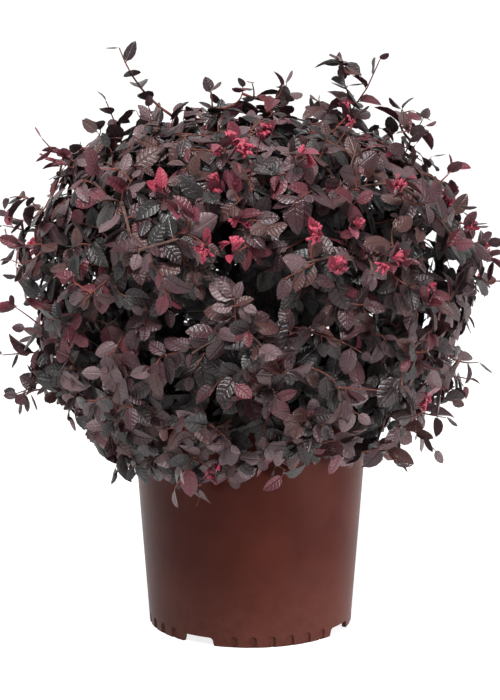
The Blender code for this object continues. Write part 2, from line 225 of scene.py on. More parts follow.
# %% Sizes of the pot
POT_LOW, POT_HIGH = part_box("pot")
POT_HEIGHT = POT_HIGH.z
LIP_RADIUS = (POT_HIGH.x - POT_LOW.x) / 2
LIP_OUT = 0.008
LIP_DROP = 0.012
BODY_RADIUS = LIP_RADIUS - LIP_OUT
BASE_RADIUS = 0.1125
WALL = 0.002
FOOT_WIDTH = 0.005
FLOOR_UNDER = 0.0105
ROUNDING = 0.0009
TURN_STEPS = 720
FINE_ROWS_BELOW = 0.017
FINE_ROW = 0.0008
COARSE_ROW = 0.012
print("Pot:", round(POT_HEIGHT, 4), "high and", round(2 * LIP_RADIUS, 4), "across its lip")


# %% Turn the pot's profile
def body_radius(height):
    """Outer radius of the pot's wall at a height."""
    return BASE_RADIUS + (BODY_RADIUS - BASE_RADIUS) * height / POT_HEIGHT


def pot_corners():
    """Radius, height and rounding of each corner, from the middle of the floor over the lip and under."""
    floor_top = FLOOR_UNDER + WALL
    lip_bottom = POT_HEIGHT - LIP_DROP
    return (
        (0, floor_top, 0),
        (body_radius(floor_top) - WALL, floor_top, WALL),
        (BODY_RADIUS - WALL, POT_HEIGHT, ROUNDING),
        (LIP_RADIUS, POT_HEIGHT, WALL),
        (LIP_RADIUS, lip_bottom, ROUNDING / 2),
        (LIP_RADIUS - WALL, lip_bottom, ROUNDING / 2),
        (LIP_RADIUS - WALL, POT_HEIGHT - WALL, ROUNDING / 2),
        (BODY_RADIUS, POT_HEIGHT - WALL, ROUNDING),
        (BASE_RADIUS, 0, ROUNDING),
        (BASE_RADIUS - FOOT_WIDTH, 0, ROUNDING),
        (BASE_RADIUS - FOOT_WIDTH, FLOOR_UNDER, ROUNDING),
        (0, FLOOR_UNDER, 0),
    )


def rounded(corners, steps=4):
    """The profile with each corner replaced by a smooth arc of its rounding."""
    points = []
    for number, (radius, height, rounding) in enumerate(corners):
        corner = Vector((radius, height))
        if not rounding:
            points.append(corner)
            continue
        before = Vector(corners[number - 1][:2]) - corner
        after = Vector(corners[number + 1][:2]) - corner
        start = corner + before.normalized() * rounding
        end = corner + after.normalized() * rounding
        for step in range(steps + 1):
            share = step / steps
            points.append(start.lerp(corner, share).lerp(corner.lerp(end, share), share))
    return points


def with_rows(points):
    """Adds rows between far points, close ones on the lowest stretch of the wall."""
    rows = [points[0]]
    for start, end in zip(points, points[1:]):
        near_foot = max(start.x, end.x) > BASE_RADIUS - FOOT_WIDTH / 2
        while near_foot and end.y < FINE_ROWS_BELOW < rows[-1].y - FINE_ROW:
            drop = min(COARSE_ROW, rows[-1].y - FINE_ROWS_BELOW)
            rows.append(rows[-1].lerp(end, drop / (rows[-1].y - end.y)))
        step = FINE_ROW if near_foot and end.y < FINE_ROWS_BELOW else COARSE_ROW
        begin = rows[-1].copy()
        count = max(1, round((end - begin).length / step))
        rows += [begin.lerp(end, number / count) for number in range(1, count + 1)]
    return rows


def turned_mesh(name, rows, steps):
    """A closed solid of revolution whose first and last rows are on the axis."""
    angles = np.arange(steps) * math.tau / steps
    rings = np.array([tuple(row) for row in rows[1:-1]])
    x = rings[:, :1] * np.sin(angles)
    y = -rings[:, :1] * np.cos(angles)
    z = np.repeat(rings[:, 1:], steps, axis=1)
    corners = np.stack((x, y, z), axis=2).reshape(-1, 3).tolist()
    first = len(corners)
    corners += [(0, 0, rows[0].y), (0, 0, rows[-1].y)]
    faces = []
    last_ring = (len(rings) - 1) * steps
    for step in range(steps):
        after = (step + 1) % steps
        faces.append((first, step, after))
        faces.append((last_ring + after, last_ring + step, first + 1))
        for ring in range(len(rings) - 1):
            low = ring * steps
            faces.append((low + step, low + steps + step, low + steps + after, low + after))
    mesh = bpy.data.meshes.new(name)
    mesh.from_pydata(corners, [], faces)
    shape = bmesh.new()
    shape.from_mesh(mesh)
    bmesh.ops.recalc_face_normals(shape, faces=shape.faces)
    shape.to_mesh(mesh)
    shape.free()
    return mesh


pot_mesh = turned_mesh("pot_shell", with_rows(rounded(pot_corners())), TURN_STEPS)
print("Pot shell turned with", len(pot_mesh.vertices), "corners")

# %% Press the arched dents into the foot
NOTCH_FIRST_DEG = -30
NOTCHES = 4
DENTS = 6
DENT_STEP_DEG = 10.5
DENTS_MIDDLE_DEG = 47.0
DENT_WIDTH = 0.0088
DENT_HEIGHT = 0.0124
DENT_DEPTH = 0.0022
DENT_EDGE = 0.0012


def dent_angles():
    angles = []
    for notch in range(NOTCHES):
        middle = NOTCH_FIRST_DEG + notch * 360 / NOTCHES + DENTS_MIDDLE_DEG
        for number in range(DENTS):
            angles.append(math.radians(middle + (number - (DENTS - 1) / 2) * DENT_STEP_DEG))
    return angles


def press_dents(mesh):
    """Moves the wall in where it lies inside an arch, with a short slope at the arch's edge."""
    half = DENT_WIDTH / 2
    spring = DENT_HEIGHT - half
    for corner in mesh.vertices:
        radius = math.hypot(corner.co.x, corner.co.y)
        if corner.co.z > FINE_ROWS_BELOW or radius < BASE_RADIUS - ROUNDING:
            continue
        azimuth = math.atan2(corner.co.x, -corner.co.y)
        across = min(abs(math.remainder(azimuth - dent, math.tau)) for dent in dent_angles_found) * radius
        out = math.hypot(across, max(0.0, corner.co.z - spring)) - half
        share = min(1.0, max(0.0, -out / DENT_EDGE))
        depth = DENT_DEPTH * share * share * (3 - 2 * share)
        corner.co.x -= depth * math.sin(azimuth)
        corner.co.y += depth * math.cos(azimuth)


dent_angles_found = dent_angles()
press_dents(pot_mesh)
print("Dents pressed:", len(dent_angles_found))

# %% Cut the notches and drain holes
NOTCH_HEIGHT = 0.009
NOTCH_WIDTH = 0.036
NOTCH_SLANT = 0.003
NOTCH_ROUNDING = 0.004
DRAIN_RADIUS = 0.006
DRAIN_RING = 0.078
DRAIN_DEPTH = 0.016
DRAIN_SIDES = 40


def polar(azimuth, distance, height):
    """The point at an azimuth in degrees, where 0 is the front (-Y) and 90 is the right (+X)."""
    angle = math.radians(azimuth)
    return Vector((distance * math.sin(angle), -distance * math.cos(angle), height))


def notch_outline():
    """Half widths and heights of a notch, whose upper corners are round and whose ends slant."""
    outline = [(NOTCH_WIDTH / 2 + NOTCH_SLANT, -NOTCH_HEIGHT)]
    for step in range(7):
        angle = math.radians(90 * step / 6)
        outline.append((
            NOTCH_WIDTH / 2 - NOTCH_ROUNDING * (1 - math.cos(angle)),
            NOTCH_HEIGHT - NOTCH_ROUNDING * (1 - math.sin(angle)),
        ))
    return outline + [(-across, height) for across, height in reversed(outline)]


def notch_mesh():
    """The outline drawn through the foot ring."""
    shape = bmesh.new()
    depth = 2 * FOOT_WIDTH
    corners = [shape.verts.new((across, -BASE_RADIUS - depth, height)) for across, height in notch_outline()]
    face = shape.faces.new(corners)
    moved = bmesh.ops.extrude_face_region(shape, geom=[face])["geom"]
    far = [item for item in moved if isinstance(item, bmesh.types.BMVert)]
    bmesh.ops.translate(shape, verts=far, vec=(0, 2 * depth, 0))
    bmesh.ops.recalc_face_normals(shape, faces=shape.faces)
    return mesh_from(shape, "notch")


def drain_mesh():
    shape = bmesh.new()
    bmesh.ops.create_cone(
        shape,
        cap_ends=True,
        segments=DRAIN_SIDES,
        radius1=DRAIN_RADIUS,
        radius2=DRAIN_RADIUS,
        depth=DRAIN_DEPTH,
    )
    return mesh_from(shape, "drain")


def cut_pot(mesh):
    cutters = bpy.data.collections.new("pot_cutters")
    scene.collection.children.link(cutters)
    for number in range(NOTCHES):
        azimuth = NOTCH_FIRST_DEG + number * 360 / NOTCHES
        notch = bpy.data.objects.new("notch", notch_mesh())
        notch.rotation_euler.z = math.radians(azimuth)
        drain = bpy.data.objects.new("drain", drain_mesh())
        drain.location = polar(azimuth, DRAIN_RING, FLOOR_UNDER)
        cutters.objects.link(notch)
        cutters.objects.link(drain)
    shell = add_object("pot_shell", mesh)
    cut = shell.modifiers.new("notches and drain holes", "BOOLEAN")
    cut.operation = "DIFFERENCE"
    cut.operand_type = "COLLECTION"
    cut.collection = cutters
    pot = worked_out(shell, "nursery_pot")
    for cutter in list(cutters.objects):
        bpy.data.objects.remove(cutter)
    bpy.data.collections.remove(cutters)
    return pot


pot = cut_pot(pot_mesh)
smooth(pot.data, 32)
print("Pot cut:", len(pot.data.polygons), "faces")

# %% [markdown]
# The pot's plastic is a satin red brown. It is not quite even: the colour is a little mottled from the
# moulding, the gloss varies where hands and benches have rubbed it, and dust and splashes of mix dull it
# near the ground. A fine grain breaks up the reflections.

# %% Finish the pot
POT_BROWN = (0.033, 0.0048, 0.0026)
POT_BROWN_WORN = (0.050, 0.0100, 0.0062)
POT_DUST = (0.096, 0.038, 0.029)


def pot_finish():
    material = new_finish("pot plastic", POT_BROWN, 0.4, Specular_IOR_Level=0.07)
    tree = material.node_tree
    where = place_coordinates(tree)
    mottle = noise_texture(tree, where, 14, detail=3)
    scuffs = noise_texture(tree, where, 90, detail=6, rough=0.7)
    base = colour_ramp(tree, mottle, ((0.35, POT_BROWN), (0.7, POT_BROWN_WORN)))
    split = tree.nodes.new("ShaderNodeSeparateXYZ")
    tree.links.new(where, split.inputs["Vector"])
    low = tree.nodes.new("ShaderNodeMapRange")
    for label, value in (("From Min", 0.10), ("From Max", 0.0), ("To Min", 0.0), ("To Max", 0.65)):
        low.inputs[label].default_value = value
    tree.links.new(split.outputs["Z"], low.inputs["Value"])
    dusty = calculate(tree, "MULTIPLY", low.outputs["Result"], scuffs)
    blend = tree.nodes.new("ShaderNodeMix")
    blend.data_type = "RGBA"
    tree.links.new(dusty, blend.inputs["Factor"])
    tree.links.new(base, blend.inputs["A"])
    blend.inputs["B"].default_value = (*POT_DUST, 1)
    feed(tree, blend.outputs["Result"], "Base Color")
    feed(tree, value_range(tree, scuffs, 0.30, 0.46), "Roughness")
    add_bump(tree, noise_texture(tree, where, 1400, detail=2), 0.00006)
    return material


pot.data.materials.clear()
pot.data.materials.append(pot_finish())
finish_piece(pot, "pot_plastic", "pot")

# %% [markdown]
# ## The potting mix
#
# The mix is a dark bed of composted bark with paler chips on it. The bed is a turned solid whose top is
# pushed up and down by noise. The chips repeat a few small broken shapes, so Geometry Nodes strew them.

# %% Make the bed of potting mix
SOIL_LOW, SOIL_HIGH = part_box("soil")
SOIL_RADIUS = (SOIL_HIGH.x - SOIL_LOW.x) / 2
SOIL_BOTTOM_RADIUS = body_radius(SOIL_LOW.z) - (body_radius(SOIL_HIGH.z) - SOIL_RADIUS)
SOIL_RINGS = 34
SOIL_STEPS = 160
LUMP_HEIGHT = 0.0022
LUMP_SIZE = 0.011


def soil_rows():
    rows = [Vector((SOIL_RADIUS * ring / SOIL_RINGS, SOIL_HIGH.z)) for ring in range(SOIL_RINGS + 1)]
    return rows + [Vector((SOIL_BOTTOM_RADIUS, SOIL_LOW.z)), Vector((0, SOIL_LOW.z))]


def lump(point):
    """How far the bed rises or sinks at a point: lumps, with crumbs on them."""
    coarse = noise.noise(point / LUMP_SIZE)
    fine = noise.noise(point / LUMP_SIZE * 3.7)
    return LUMP_HEIGHT * (coarse + 0.45 * fine - 0.4)


bed = add_object("potting_mix_bed", turned_mesh("potting_mix_bed", soil_rows(), SOIL_STEPS))
for corner in bed.data.vertices:
    if corner.co.z > SOIL_HIGH.z - LUMP_HEIGHT:
        corner.co.z += lump(corner.co)
smooth(bed.data, 50)
print("Potting mix:", round(2 * SOIL_RADIUS, 4), "across, top at", round(SOIL_HIGH.z, 4))


# %% Finish the potting mix
def mix_finish():
    material = new_finish("potting mix", (0.03, 0.018, 0.012), 0.92)
    tree = material.node_tree
    where = place_coordinates(tree)
    crumbs = noise_texture(tree, where, 220, detail=8, rough=0.7)
    stops = ((0.3, (0.012, 0.007, 0.005)), (0.55, (0.036, 0.022, 0.014)), (0.75, (0.085, 0.055, 0.036)))
    feed(tree, colour_ramp(tree, crumbs, stops), "Base Color")
    add_bump(tree, crumbs, 0.0016)
    return material


def chip_finish():
    material = new_finish("bark chips", (0.09, 0.05, 0.032), 0.85)
    tree = material.node_tree
    where = place_coordinates(tree)
    grain = noise_texture(tree, where, 150, detail=5)
    stops = ((0.3, (0.045, 0.024, 0.015)), (0.6, (0.115, 0.066, 0.042)), (0.8, (0.20, 0.135, 0.092)))
    feed(tree, colour_ramp(tree, grain, stops), "Base Color")
    add_bump(tree, grain, 0.0006)
    return material


bed.data.materials.clear()
bed.data.materials.append(mix_finish())

# %% [markdown]
# ## Geometry Nodes for what repeats
#
# Three small node trees do the repeating work. One strews chips on the bed. One puts a leaf or a flower
# on each of many points, turned and sized by values that the points carry. One draws a tube along each
# twig, as thick as its points say. Each ends in Realize Instances and Set Material, and the result is
# turned into a plain mesh.


# %% Helpers for the node trees
def new_tree(name, inputs):
    """An empty Geometry Nodes tree with named inputs: (label, socket type)."""
    tree = bpy.data.node_groups.new(name, "GeometryNodeTree")
    tree.is_modifier = True
    tree.interface.new_socket("Geometry", in_out="INPUT", socket_type="NodeSocketGeometry")
    for label, kind in inputs:
        tree.interface.new_socket(label, in_out="INPUT", socket_type=kind)
    tree.interface.new_socket("Geometry", in_out="OUTPUT", socket_type="NodeSocketGeometry")
    return tree, tree.nodes.new("NodeGroupInput"), tree.nodes.new("NodeGroupOutput")


def carried(tree, label, kind):
    """The socket of a value that the points carry."""
    node = tree.nodes.new("GeometryNodeInputNamedAttribute")
    node.data_type = kind
    node.inputs["Name"].default_value = label
    return next(socket for socket in node.outputs if socket.enabled and socket.name == "Attribute")


def run_tree(obj, tree, values, name):
    """Runs a node tree on an object with inputs by label, and gives the plain mesh object."""
    modifier = obj.modifiers.new(tree.name, "NODES")
    modifier.node_group = tree
    for item in tree.interface.items_tree:
        if item.in_out == "INPUT" and item.name in values:
            modifier[item.identifier] = values[item.name]
    return worked_out(obj, name)


def realize_and_finish(tree, geometry, finish, end):
    """The last nodes of each tree."""
    realize = tree.nodes.new("GeometryNodeRealizeInstances")
    paint = tree.nodes.new("GeometryNodeSetMaterial")
    tree.links.new(geometry, realize.inputs["Geometry"])
    tree.links.new(realize.outputs["Geometry"], paint.inputs["Geometry"])
    tree.links.new(finish, paint.inputs["Material"])
    tree.links.new(paint.outputs["Geometry"], end.inputs["Geometry"])
    return paint


def forms_collection(name, meshes):
    """A collection of patterns that a tree picks from by number, outside the scene."""
    forms = bpy.data.collections.new(name)
    for number, mesh in enumerate(meshes):
        forms.objects.link(bpy.data.objects.new(f"{name}_{number:02d}", mesh))
    return forms


# %% Strew bark chips on the bed
CHIP_COUNT_PER_M2 = 15000
CHIP_LENGTH = 0.0085
CHIP_SEED = 4


def chip_pattern(number):
    """A small broken slab of bark."""
    shape = bmesh.new()
    bmesh.ops.create_icosphere(shape, subdivisions=1, radius=0.5)
    for corner in shape.verts:
        ragged = 1 + 0.35 * noise.noise(corner.co * 3 + Vector((number * 7, 0, 0)))
        corner.co = Vector((corner.co.x * 0.55, corner.co.y, corner.co.z * 0.3)) * ragged * CHIP_LENGTH
    return mesh_from(shape, f"chip_{number}")


def strewing_tree():
    tree, start, end = new_tree(
        "Strewn chips",
        (
            ("Forms", "NodeSocketCollection"),
            ("Density", "NodeSocketFloat"),
            ("Seed", "NodeSocketInt"),
            ("Finish", "NodeSocketMaterial"),
        ),
    )
    normal = tree.nodes.new("GeometryNodeInputNormal")
    upward = tree.nodes.new("ShaderNodeSeparateXYZ")
    tree.links.new(normal.outputs["Normal"], upward.inputs["Vector"])
    on_top = tree.nodes.new("FunctionNodeCompare")
    on_top.data_type = "FLOAT"
    tree.links.new(upward.outputs["Z"], on_top.inputs["A"])
    on_top.inputs["B"].default_value = 0.3
    scatter = tree.nodes.new("GeometryNodeDistributePointsOnFaces")
    tree.links.new(start.outputs["Geometry"], scatter.inputs["Mesh"])
    tree.links.new(on_top.outputs["Result"], scatter.inputs["Selection"])
    tree.links.new(start.outputs["Density"], scatter.inputs["Density"])
    tree.links.new(start.outputs["Seed"], scatter.inputs["Seed"])
    forms = tree.nodes.new("GeometryNodeCollectionInfo")
    forms.inputs["Separate Children"].default_value = True
    forms.inputs["Reset Children"].default_value = True
    tree.links.new(start.outputs["Forms"], forms.inputs["Collection"])
    turn = tree.nodes.new("FunctionNodeRandomValue")
    turn.data_type = "FLOAT_VECTOR"
    turn.inputs["Min"].default_value = (-0.5, -0.5, 0)
    turn.inputs["Max"].default_value = (0.5, 0.5, math.tau)
    size = tree.nodes.new("FunctionNodeRandomValue")
    size.data_type = "FLOAT"
    size.inputs["Min"].default_value = 0.45
    size.inputs["Max"].default_value = 1.4
    for node in (turn, size):
        tree.links.new(start.outputs["Seed"], node.inputs["Seed"])
    copies = tree.nodes.new("GeometryNodeInstanceOnPoints")
    copies.inputs["Pick Instance"].default_value = True
    tree.links.new(scatter.outputs["Points"], copies.inputs["Points"])
    tree.links.new(forms.outputs["Instances"], copies.inputs["Instance"])
    tree.links.new(turn.outputs["Value"], copies.inputs["Rotation"])
    sized = next(socket for socket in size.outputs if socket.enabled)
    tree.links.new(sized, copies.inputs["Scale"])
    realize_and_finish(tree, copies.outputs["Instances"], start.outputs["Finish"], end)
    return tree


chip_forms = forms_collection("chip", [chip_pattern(number) for number in range(5)])
chip_values = {"Forms": chip_forms, "Density": CHIP_COUNT_PER_M2, "Seed": CHIP_SEED, "Finish": chip_finish()}
chips = run_tree(add_object("chip_ground", bed.data.copy()), strewing_tree(), chip_values, "bark_chips")
finish_piece(bed, "potting_mix", "soil")
finish_piece(chips, "potting_mix", "soil")

# %% [markdown]
# ## How the shrub grows
#
# The shrub grows by one rule, the same that made its CAD solids. A short trunk forks into a bough for
# each mass of foliage. Each mass keeps to its own part of the crown, and its twigs run out to points that
# are spread evenly over a mound. A new twig leaves the joint that is nearest to its point, with some
# liking for joints near the middle of the mass. Here the rule goes on to finer twigs, which fill the
# crown with leaves of life size.

# %% Sizes of the limbs
TRUNK_LOW, TRUNK_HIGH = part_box("trunk")
TRUNK_FOOT = TRUNK_LOW.z
TRUNK_HEIGHT = TRUNK_HIGH.z - TRUNK_LOW.z
TRUNK_LEAN = 0.004
TRUNK_SECTIONS = ((0, 0.0210), (0.004, 0.0175), (0.012, 0.0150), (0.025, 0.0135), (0.057, 0.0105))
BOUGH_BASE = 0.0046
BOUGH_TIP = 0.0026
BOUGH_FOOT = (0.232, 0.266)
BOUGH_OUT = (0.42, 0.22)
BOUGH_UP = (0.018, 0.093)
RINGS = (
    ("foliage_lower", 6, 0.168, 0.288, 4),
    ("foliage_upper", 5, 0.146, 0.424, 30),
    ("foliage_top", 1, 0.0, 0.500, 0),
)


def mix(pair, share):
    """The value between a pair's two ends at a share of the way."""
    return pair[0] + (pair[1] - pair[0]) * share


def bend(start, middle, end, share):
    """A point on the smooth arc that leaves the start towards the middle."""
    return start.lerp(middle, share).lerp(middle.lerp(end, share), share)


def mass_centres():
    centres = {}
    for name, count, distance, height, first in RINGS:
        for number in range(count):
            label = f"{name}_{number + 1}" if count > 1 else name
            centres[label] = polar(first + number * 360 / count, distance, height)
    return centres


CENTRES = mass_centres()
print("Masses of foliage:", ", ".join(CENTRES))


# %% Lines of the trunk and the boughs
def trunk_line():
    points = []
    for height, _ in TRUNK_SECTIONS:
        share = height / TRUNK_HEIGHT
        points.append(Vector((TRUNK_LEAN * share * share, 0, TRUNK_FOOT + height)))
    return points, [radius for _, radius in TRUNK_SECTIONS]


def bough_line(centre, steps=24):
    """Points and radii of a bough, which runs on into the middle of its mass as the stem."""
    heights = [ring[3] for ring in RINGS]
    rise = (centre.z - min(heights)) / (max(heights) - min(heights))
    start = Vector((TRUNK_LEAN / 2, 0, mix(BOUGH_FOOT, rise)))
    out = Vector((centre.x, centre.y, 0)) * mix(BOUGH_OUT, rise)
    middle = start + out + Vector((0, 0, mix(BOUGH_UP, rise)))
    shares = [step / steps for step in range(steps + 1)]
    points = [bend(start, middle, centre, share) for share in shares]
    return points, [mix((BOUGH_BASE, BOUGH_TIP * 0.8), share) for share in shares]


# %% [markdown]
# Old bark on this shrub is grey brown, with shallow furrows that run along the limb and flakes between
# them. The relief is real geometry: each ring of the tube is moved in and out by noise that is stretched
# along the limb.

# %% Make the limbs with bark relief
BARK_SIDES = 40
BARK_STEP = 0.0022
BOUGH_SIDES = 16
BOUGH_STEP = 0.004
FURROW_SHARE = 0.09


def along_line(points, radii, step):
    """The line with even steps, and its radius at each."""
    lengths = [0.0]
    for before, after in zip(points, points[1:]):
        lengths.append(lengths[-1] + (after - before).length)
    count = max(2, round(lengths[-1] / step))
    spots = np.linspace(0, lengths[-1], count + 1)
    table = np.array([tuple(point) for point in points])
    places = np.stack([np.interp(spots, lengths, table[:, axis]) for axis in range(3)], axis=1)
    return [Vector(place) for place in places.tolist()], np.interp(spots, lengths, radii)


def furrows(angle, distance, seed):
    """Relief of the bark at an angle round the limb and a distance along it, about -1 to 1."""
    ridge = Vector((3.2 * math.cos(angle), 3.2 * math.sin(angle), distance * 45 + seed))
    flake = Vector((6.5 * math.cos(angle), 6.5 * math.sin(angle), distance * 160 + seed))
    return noise.noise(ridge) + 0.5 * noise.noise(flake)


def add_limb(shape, points, radii, sides, seed):
    """Adds one closed limb with bark relief to a bmesh."""
    rings = []
    side = Vector((1, 0, 0))
    for number, (point, radius) in enumerate(zip(points, radii)):
        ahead = points[min(number + 1, len(points) - 1)] - points[max(number - 1, 0)]
        along = ahead.normalized()
        side = (side - along * side.dot(along)).normalized()
        other = along.cross(side)
        ring = []
        for step in range(sides):
            angle = step * math.tau / sides
            relief = 1 + FURROW_SHARE * furrows(angle, number * BARK_STEP, seed)
            offset = side * math.cos(angle) + other * math.sin(angle)
            ring.append(shape.verts.new(point + offset * radius * relief))
        rings.append(ring)
    for lower, upper in zip(rings, rings[1:]):
        for step in range(sides):
            after = (step + 1) % sides
            shape.faces.new((lower[step], lower[after], upper[after], upper[step]))
    shape.faces.new(list(reversed(rings[0])))
    shape.faces.new(rings[-1])


limb_shape = bmesh.new()
add_limb(limb_shape, *along_line(*trunk_line(), BARK_STEP), BARK_SIDES, 0)
for number, centre in enumerate(CENTRES.values()):
    add_limb(limb_shape, *along_line(*bough_line(centre), BOUGH_STEP), BOUGH_SIDES, 10 * number + 10)
limbs = add_object("trunk_and_boughs", mesh_from(limb_shape, "trunk_and_boughs"))
smooth(limbs.data, 70)


# %% Finish the bark
def bark_finish(name, dark, middle, pale, scale):
    material = new_finish(name, middle, 0.86)
    tree = material.node_tree
    where = place_coordinates(tree)
    stretch = tree.nodes.new("ShaderNodeMapping")
    stretch.inputs["Scale"].default_value = (1, 1, 0.35)
    tree.links.new(where, stretch.inputs["Vector"])
    grain = noise_texture(tree, stretch.outputs["Vector"], scale, detail=6, rough=0.65)
    feed(tree, colour_ramp(tree, grain, ((0.3, dark), (0.52, middle), (0.72, pale))), "Base Color")
    add_bump(tree, grain, 0.0008)
    return material


limbs.data.materials.append(
    bark_finish("old bark", (0.040, 0.023, 0.017), (0.105, 0.064, 0.046), (0.20, 0.145, 0.115), 170)
)
finish_piece(limbs, "bark", "trunk", *BOUGHS)

# %% [markdown]
# ## The crown's shape
#
# The crown is a dense mound, round from above and a little flat on top, with shoots that stand out of
# it. The numbers are those of the CAD source, so leaves and solids fill the same space.

# %% Sizes of the crown
CROWN_MIDDLE = 0.375
CROWN_RADIUS = 0.262
CROWN_HALF_HEIGHT = 0.215
CROWN_POWER = 2.4
LEAVES_OUT = 0.003
FURTHEST = 0.290
HIGHEST = 0.650
POT_CLEAR = 0.002
NEAR_THE_STEM = 0.3
SEED = 58

# Leader shoots that stand out of the mound: azimuth of the tip, its distance from the axis, its height,
# the number of its side twigs and the tone of its leaves, where it has one of its own
LEADERS = (
    (88, 0.146, 0.626, 2, "wine"),
    (-98, 0.160, 0.584, 4, None),
    (-90, 0.118, 0.574, 3, None),
    (-60, 0.046, 0.596, 1, None),
    (-10, 0.010, 0.596, 0, None),
    (60, 0.050, 0.592, 1, "wine"),
    (76, 0.110, 0.592, 4, None),
    (-86, 0.232, 0.538, 0, "rose"),
    (84, 0.188, 0.566, 5, None),
    (88, 0.160, 0.576, 4, "wine"),
    (-84, 0.268, 0.446, 2, None),
    (93, 0.210, 0.488, 2, None),
    (-96, 0.280, 0.415, 1, "rose"),
    (86, 0.280, 0.380, 1, None),
    (-88, 0.280, 0.300, 1, None),
    (-84, 0.262, 0.258, 3, None),
    (94, 0.250, 0.268, 3, "wine"),
    (-94, 0.268, 0.245, 2, None),
    (80, 0.205, 0.190, 1, None),
    (8, 0.280, 0.330, 1, None),
    (176, 0.280, 0.350, 2, None),
    (150, 0.262, 0.470, 2, "wine"),
    (30, 0.262, 0.440, 1, None),
    (196, 0.180, 0.585, 4, None),
    (160, 0.120, 0.595, 3, None),
    (-20, 0.240, 0.195, 0, None),
    (-92, 0.147, 0.640, 0, None),
)


def mound_size(offset):
    """1 on the mound's surface, less inside it, for an offset from the mound's middle."""
    radial = math.hypot(offset.x, offset.y) / CROWN_RADIUS
    upright = abs(offset.z) / CROWN_HALF_HEIGHT
    return (radial**CROWN_POWER + upright**CROWN_POWER) ** (1 / CROWN_POWER)


MOUND_CENTRE = Vector((0, 0, CROWN_MIDDLE))
# The leafy outline has lumps (width, height) and hollows (place, width, depth, less than 0 for a swelling)
CREST_POWER = 2.4
LEAFY_RADIUS = 0.252
LEAFY_RISE = 0.189
LEAFY_DROP = 0.212
LUMPS = ((0.085, 0.022), (0.034, 0.012))
LUMP_START = Vector((3.1, 7.7, 1.3))
HOLLOWS = (
    ((-90, 0.262, 0.328), 0.042, 0.036),
    ((90, 0.262, 0.312), 0.046, 0.036),
    ((-85, 0.190, 0.198), 0.055, 0.038),
    ((85, 0.200, 0.198), 0.055, 0.042),
    ((-90, 0.250, 0.480), 0.040, 0.030),
    ((88, 0.250, 0.470), 0.046, 0.024),
    ((-90, 0.250, 0.256), 0.026, -0.014),
    ((90, 0.250, 0.262), 0.026, -0.014),
    ((-75, 0.150, 0.168), 0.034, 0.026),
)
# Where the sky shows through the crown in the photograph: across and height in the plane Y = 0, and radius
SKY_GAPS = (
    (0.133, 0.341, 0.0035),
    (0.194, 0.427, 0.0020),
    (0.221, 0.401, 0.0025),
    (0.196, 0.333, 0.0015),
    (0.153, 0.313, 0.0015),
    (0.188, 0.298, 0.0020),
    (0.150, 0.207, 0.0020),
    (-0.160, 0.262, 0.0015),
)


def depth_in_leaves(point):
    """How far the point is inside the leafy outline, which swells and dips about the mound."""
    offset = point - MOUND_CENTRE
    power, half_height = (CREST_POWER, LEAFY_RISE) if offset.z > 0 else (CROWN_POWER, LEAFY_DROP)
    radial = math.hypot(offset.x, offset.y) / LEAFY_RADIUS
    size = (radial**power + (abs(offset.z) / half_height) ** power) ** (1 / power)
    lumps = sum(height * noise.noise(point / width + LUMP_START) for width, height in LUMPS)
    hollows = sum(deep * math.exp(-((point - polar(*middle)).length / wide) ** 2) for middle, wide, deep in HOLLOWS)
    return (1 - size) * CROWN_HALF_HEIGHT + lumps - hollows


def in_sky_gap(points, margin=0.0):
    """Whether any of the points stands in the way of a gap, as the photograph's camera sees it."""
    eye = Vector(CAMERA_PLACE)
    for point in points:
        seen = eye.lerp(point, -eye.y / (point.y - eye.y))
        for across, height, radius in SKY_GAPS:
            if math.hypot(seen.x - across, seen.z - height) < radius + margin:
                return True
    return False


def clear_of_pot(point):
    outside = math.hypot(point.x, point.y) > LIP_RADIUS + POT_CLEAR
    return outside or point.z > POT_HEIGHT + POT_CLEAR


def in_reach(points, beyond):
    """Whether all points are clear of the pot and at most this far out of the mound."""
    for point in points:
        if depth_in_leaves(point) < -beyond or not clear_of_pot(point):
            return False
        if math.hypot(point.x, point.y) > FURTHEST or point.z > HIGHEST:
            return False
    return True


def spiral_targets(count, turn_by=0.0):
    """Points spread evenly over the mound's surface, by a golden spiral on a ball."""
    turn = math.pi * (3 - math.sqrt(5))
    targets = []
    for number in range(count):
        height = 1 - 2 * (number + 0.5) / count
        flat = math.sqrt(1 - height * height)
        angle = number * turn + turn_by
        direction = Vector((flat * math.cos(angle), flat * math.sin(angle), height))
        targets.append(MOUND_CENTRE + direction / mound_size(direction))
    return targets


def nearest_mass(point):
    return min(CENTRES, key=lambda name: (CENTRES[name] - point).length)


print("Crown:", 2 * CROWN_RADIUS, "across and", 2 * CROWN_HALF_HEIGHT, "high, with", len(LEADERS), "leaders")

# %% [markdown]
# ## Twigs
#
# Twigs are drawn as lines first. Each keeps its points, how thick it is at both ends and whether it is
# young. Young shoots are orange red and thin, older twigs brown. A twig leaves its joint along the joint's
# own way out and bends towards its target, so that a spray looks grown and not wired on.

# %% Grow the twigs
MAIN_TWIGS = 146
FINE_TWIGS = 3300
FINE_DEPTHS = ((0.006, 0.40), (0.024, 0.20), (0.046, 0.16), (0.074, 0.12), (0.108, 0.08), (0.150, 0.04))
TARGET_JITTER = 0.014
MAIN_TWIG_RADII = (0.0021, 0.0011)
FINE_TWIG_RADII = (0.0010, 0.0005)
JOINTS_PER_TWIG = 5
TWIG_POINTS = 6
LIFT_SHARE = 0.10
LEADER_RADII = (0.0016, 0.0006)
LEADER_OUT = 0.2
SIDE_TWIG_SHARES = (0.40, 0.74)
SIDE_TWIG_LENGTH = (0.016, 0.030)
SHOULDER_HEIGHT = 0.53
UPRIGHT_ON_TOP = 0.35
UPRIGHT_ON_SIDES = 0.15
OUTER_SHOOTS = 150
OUTER_SHOOT_OUT = (0.002, 0.020)


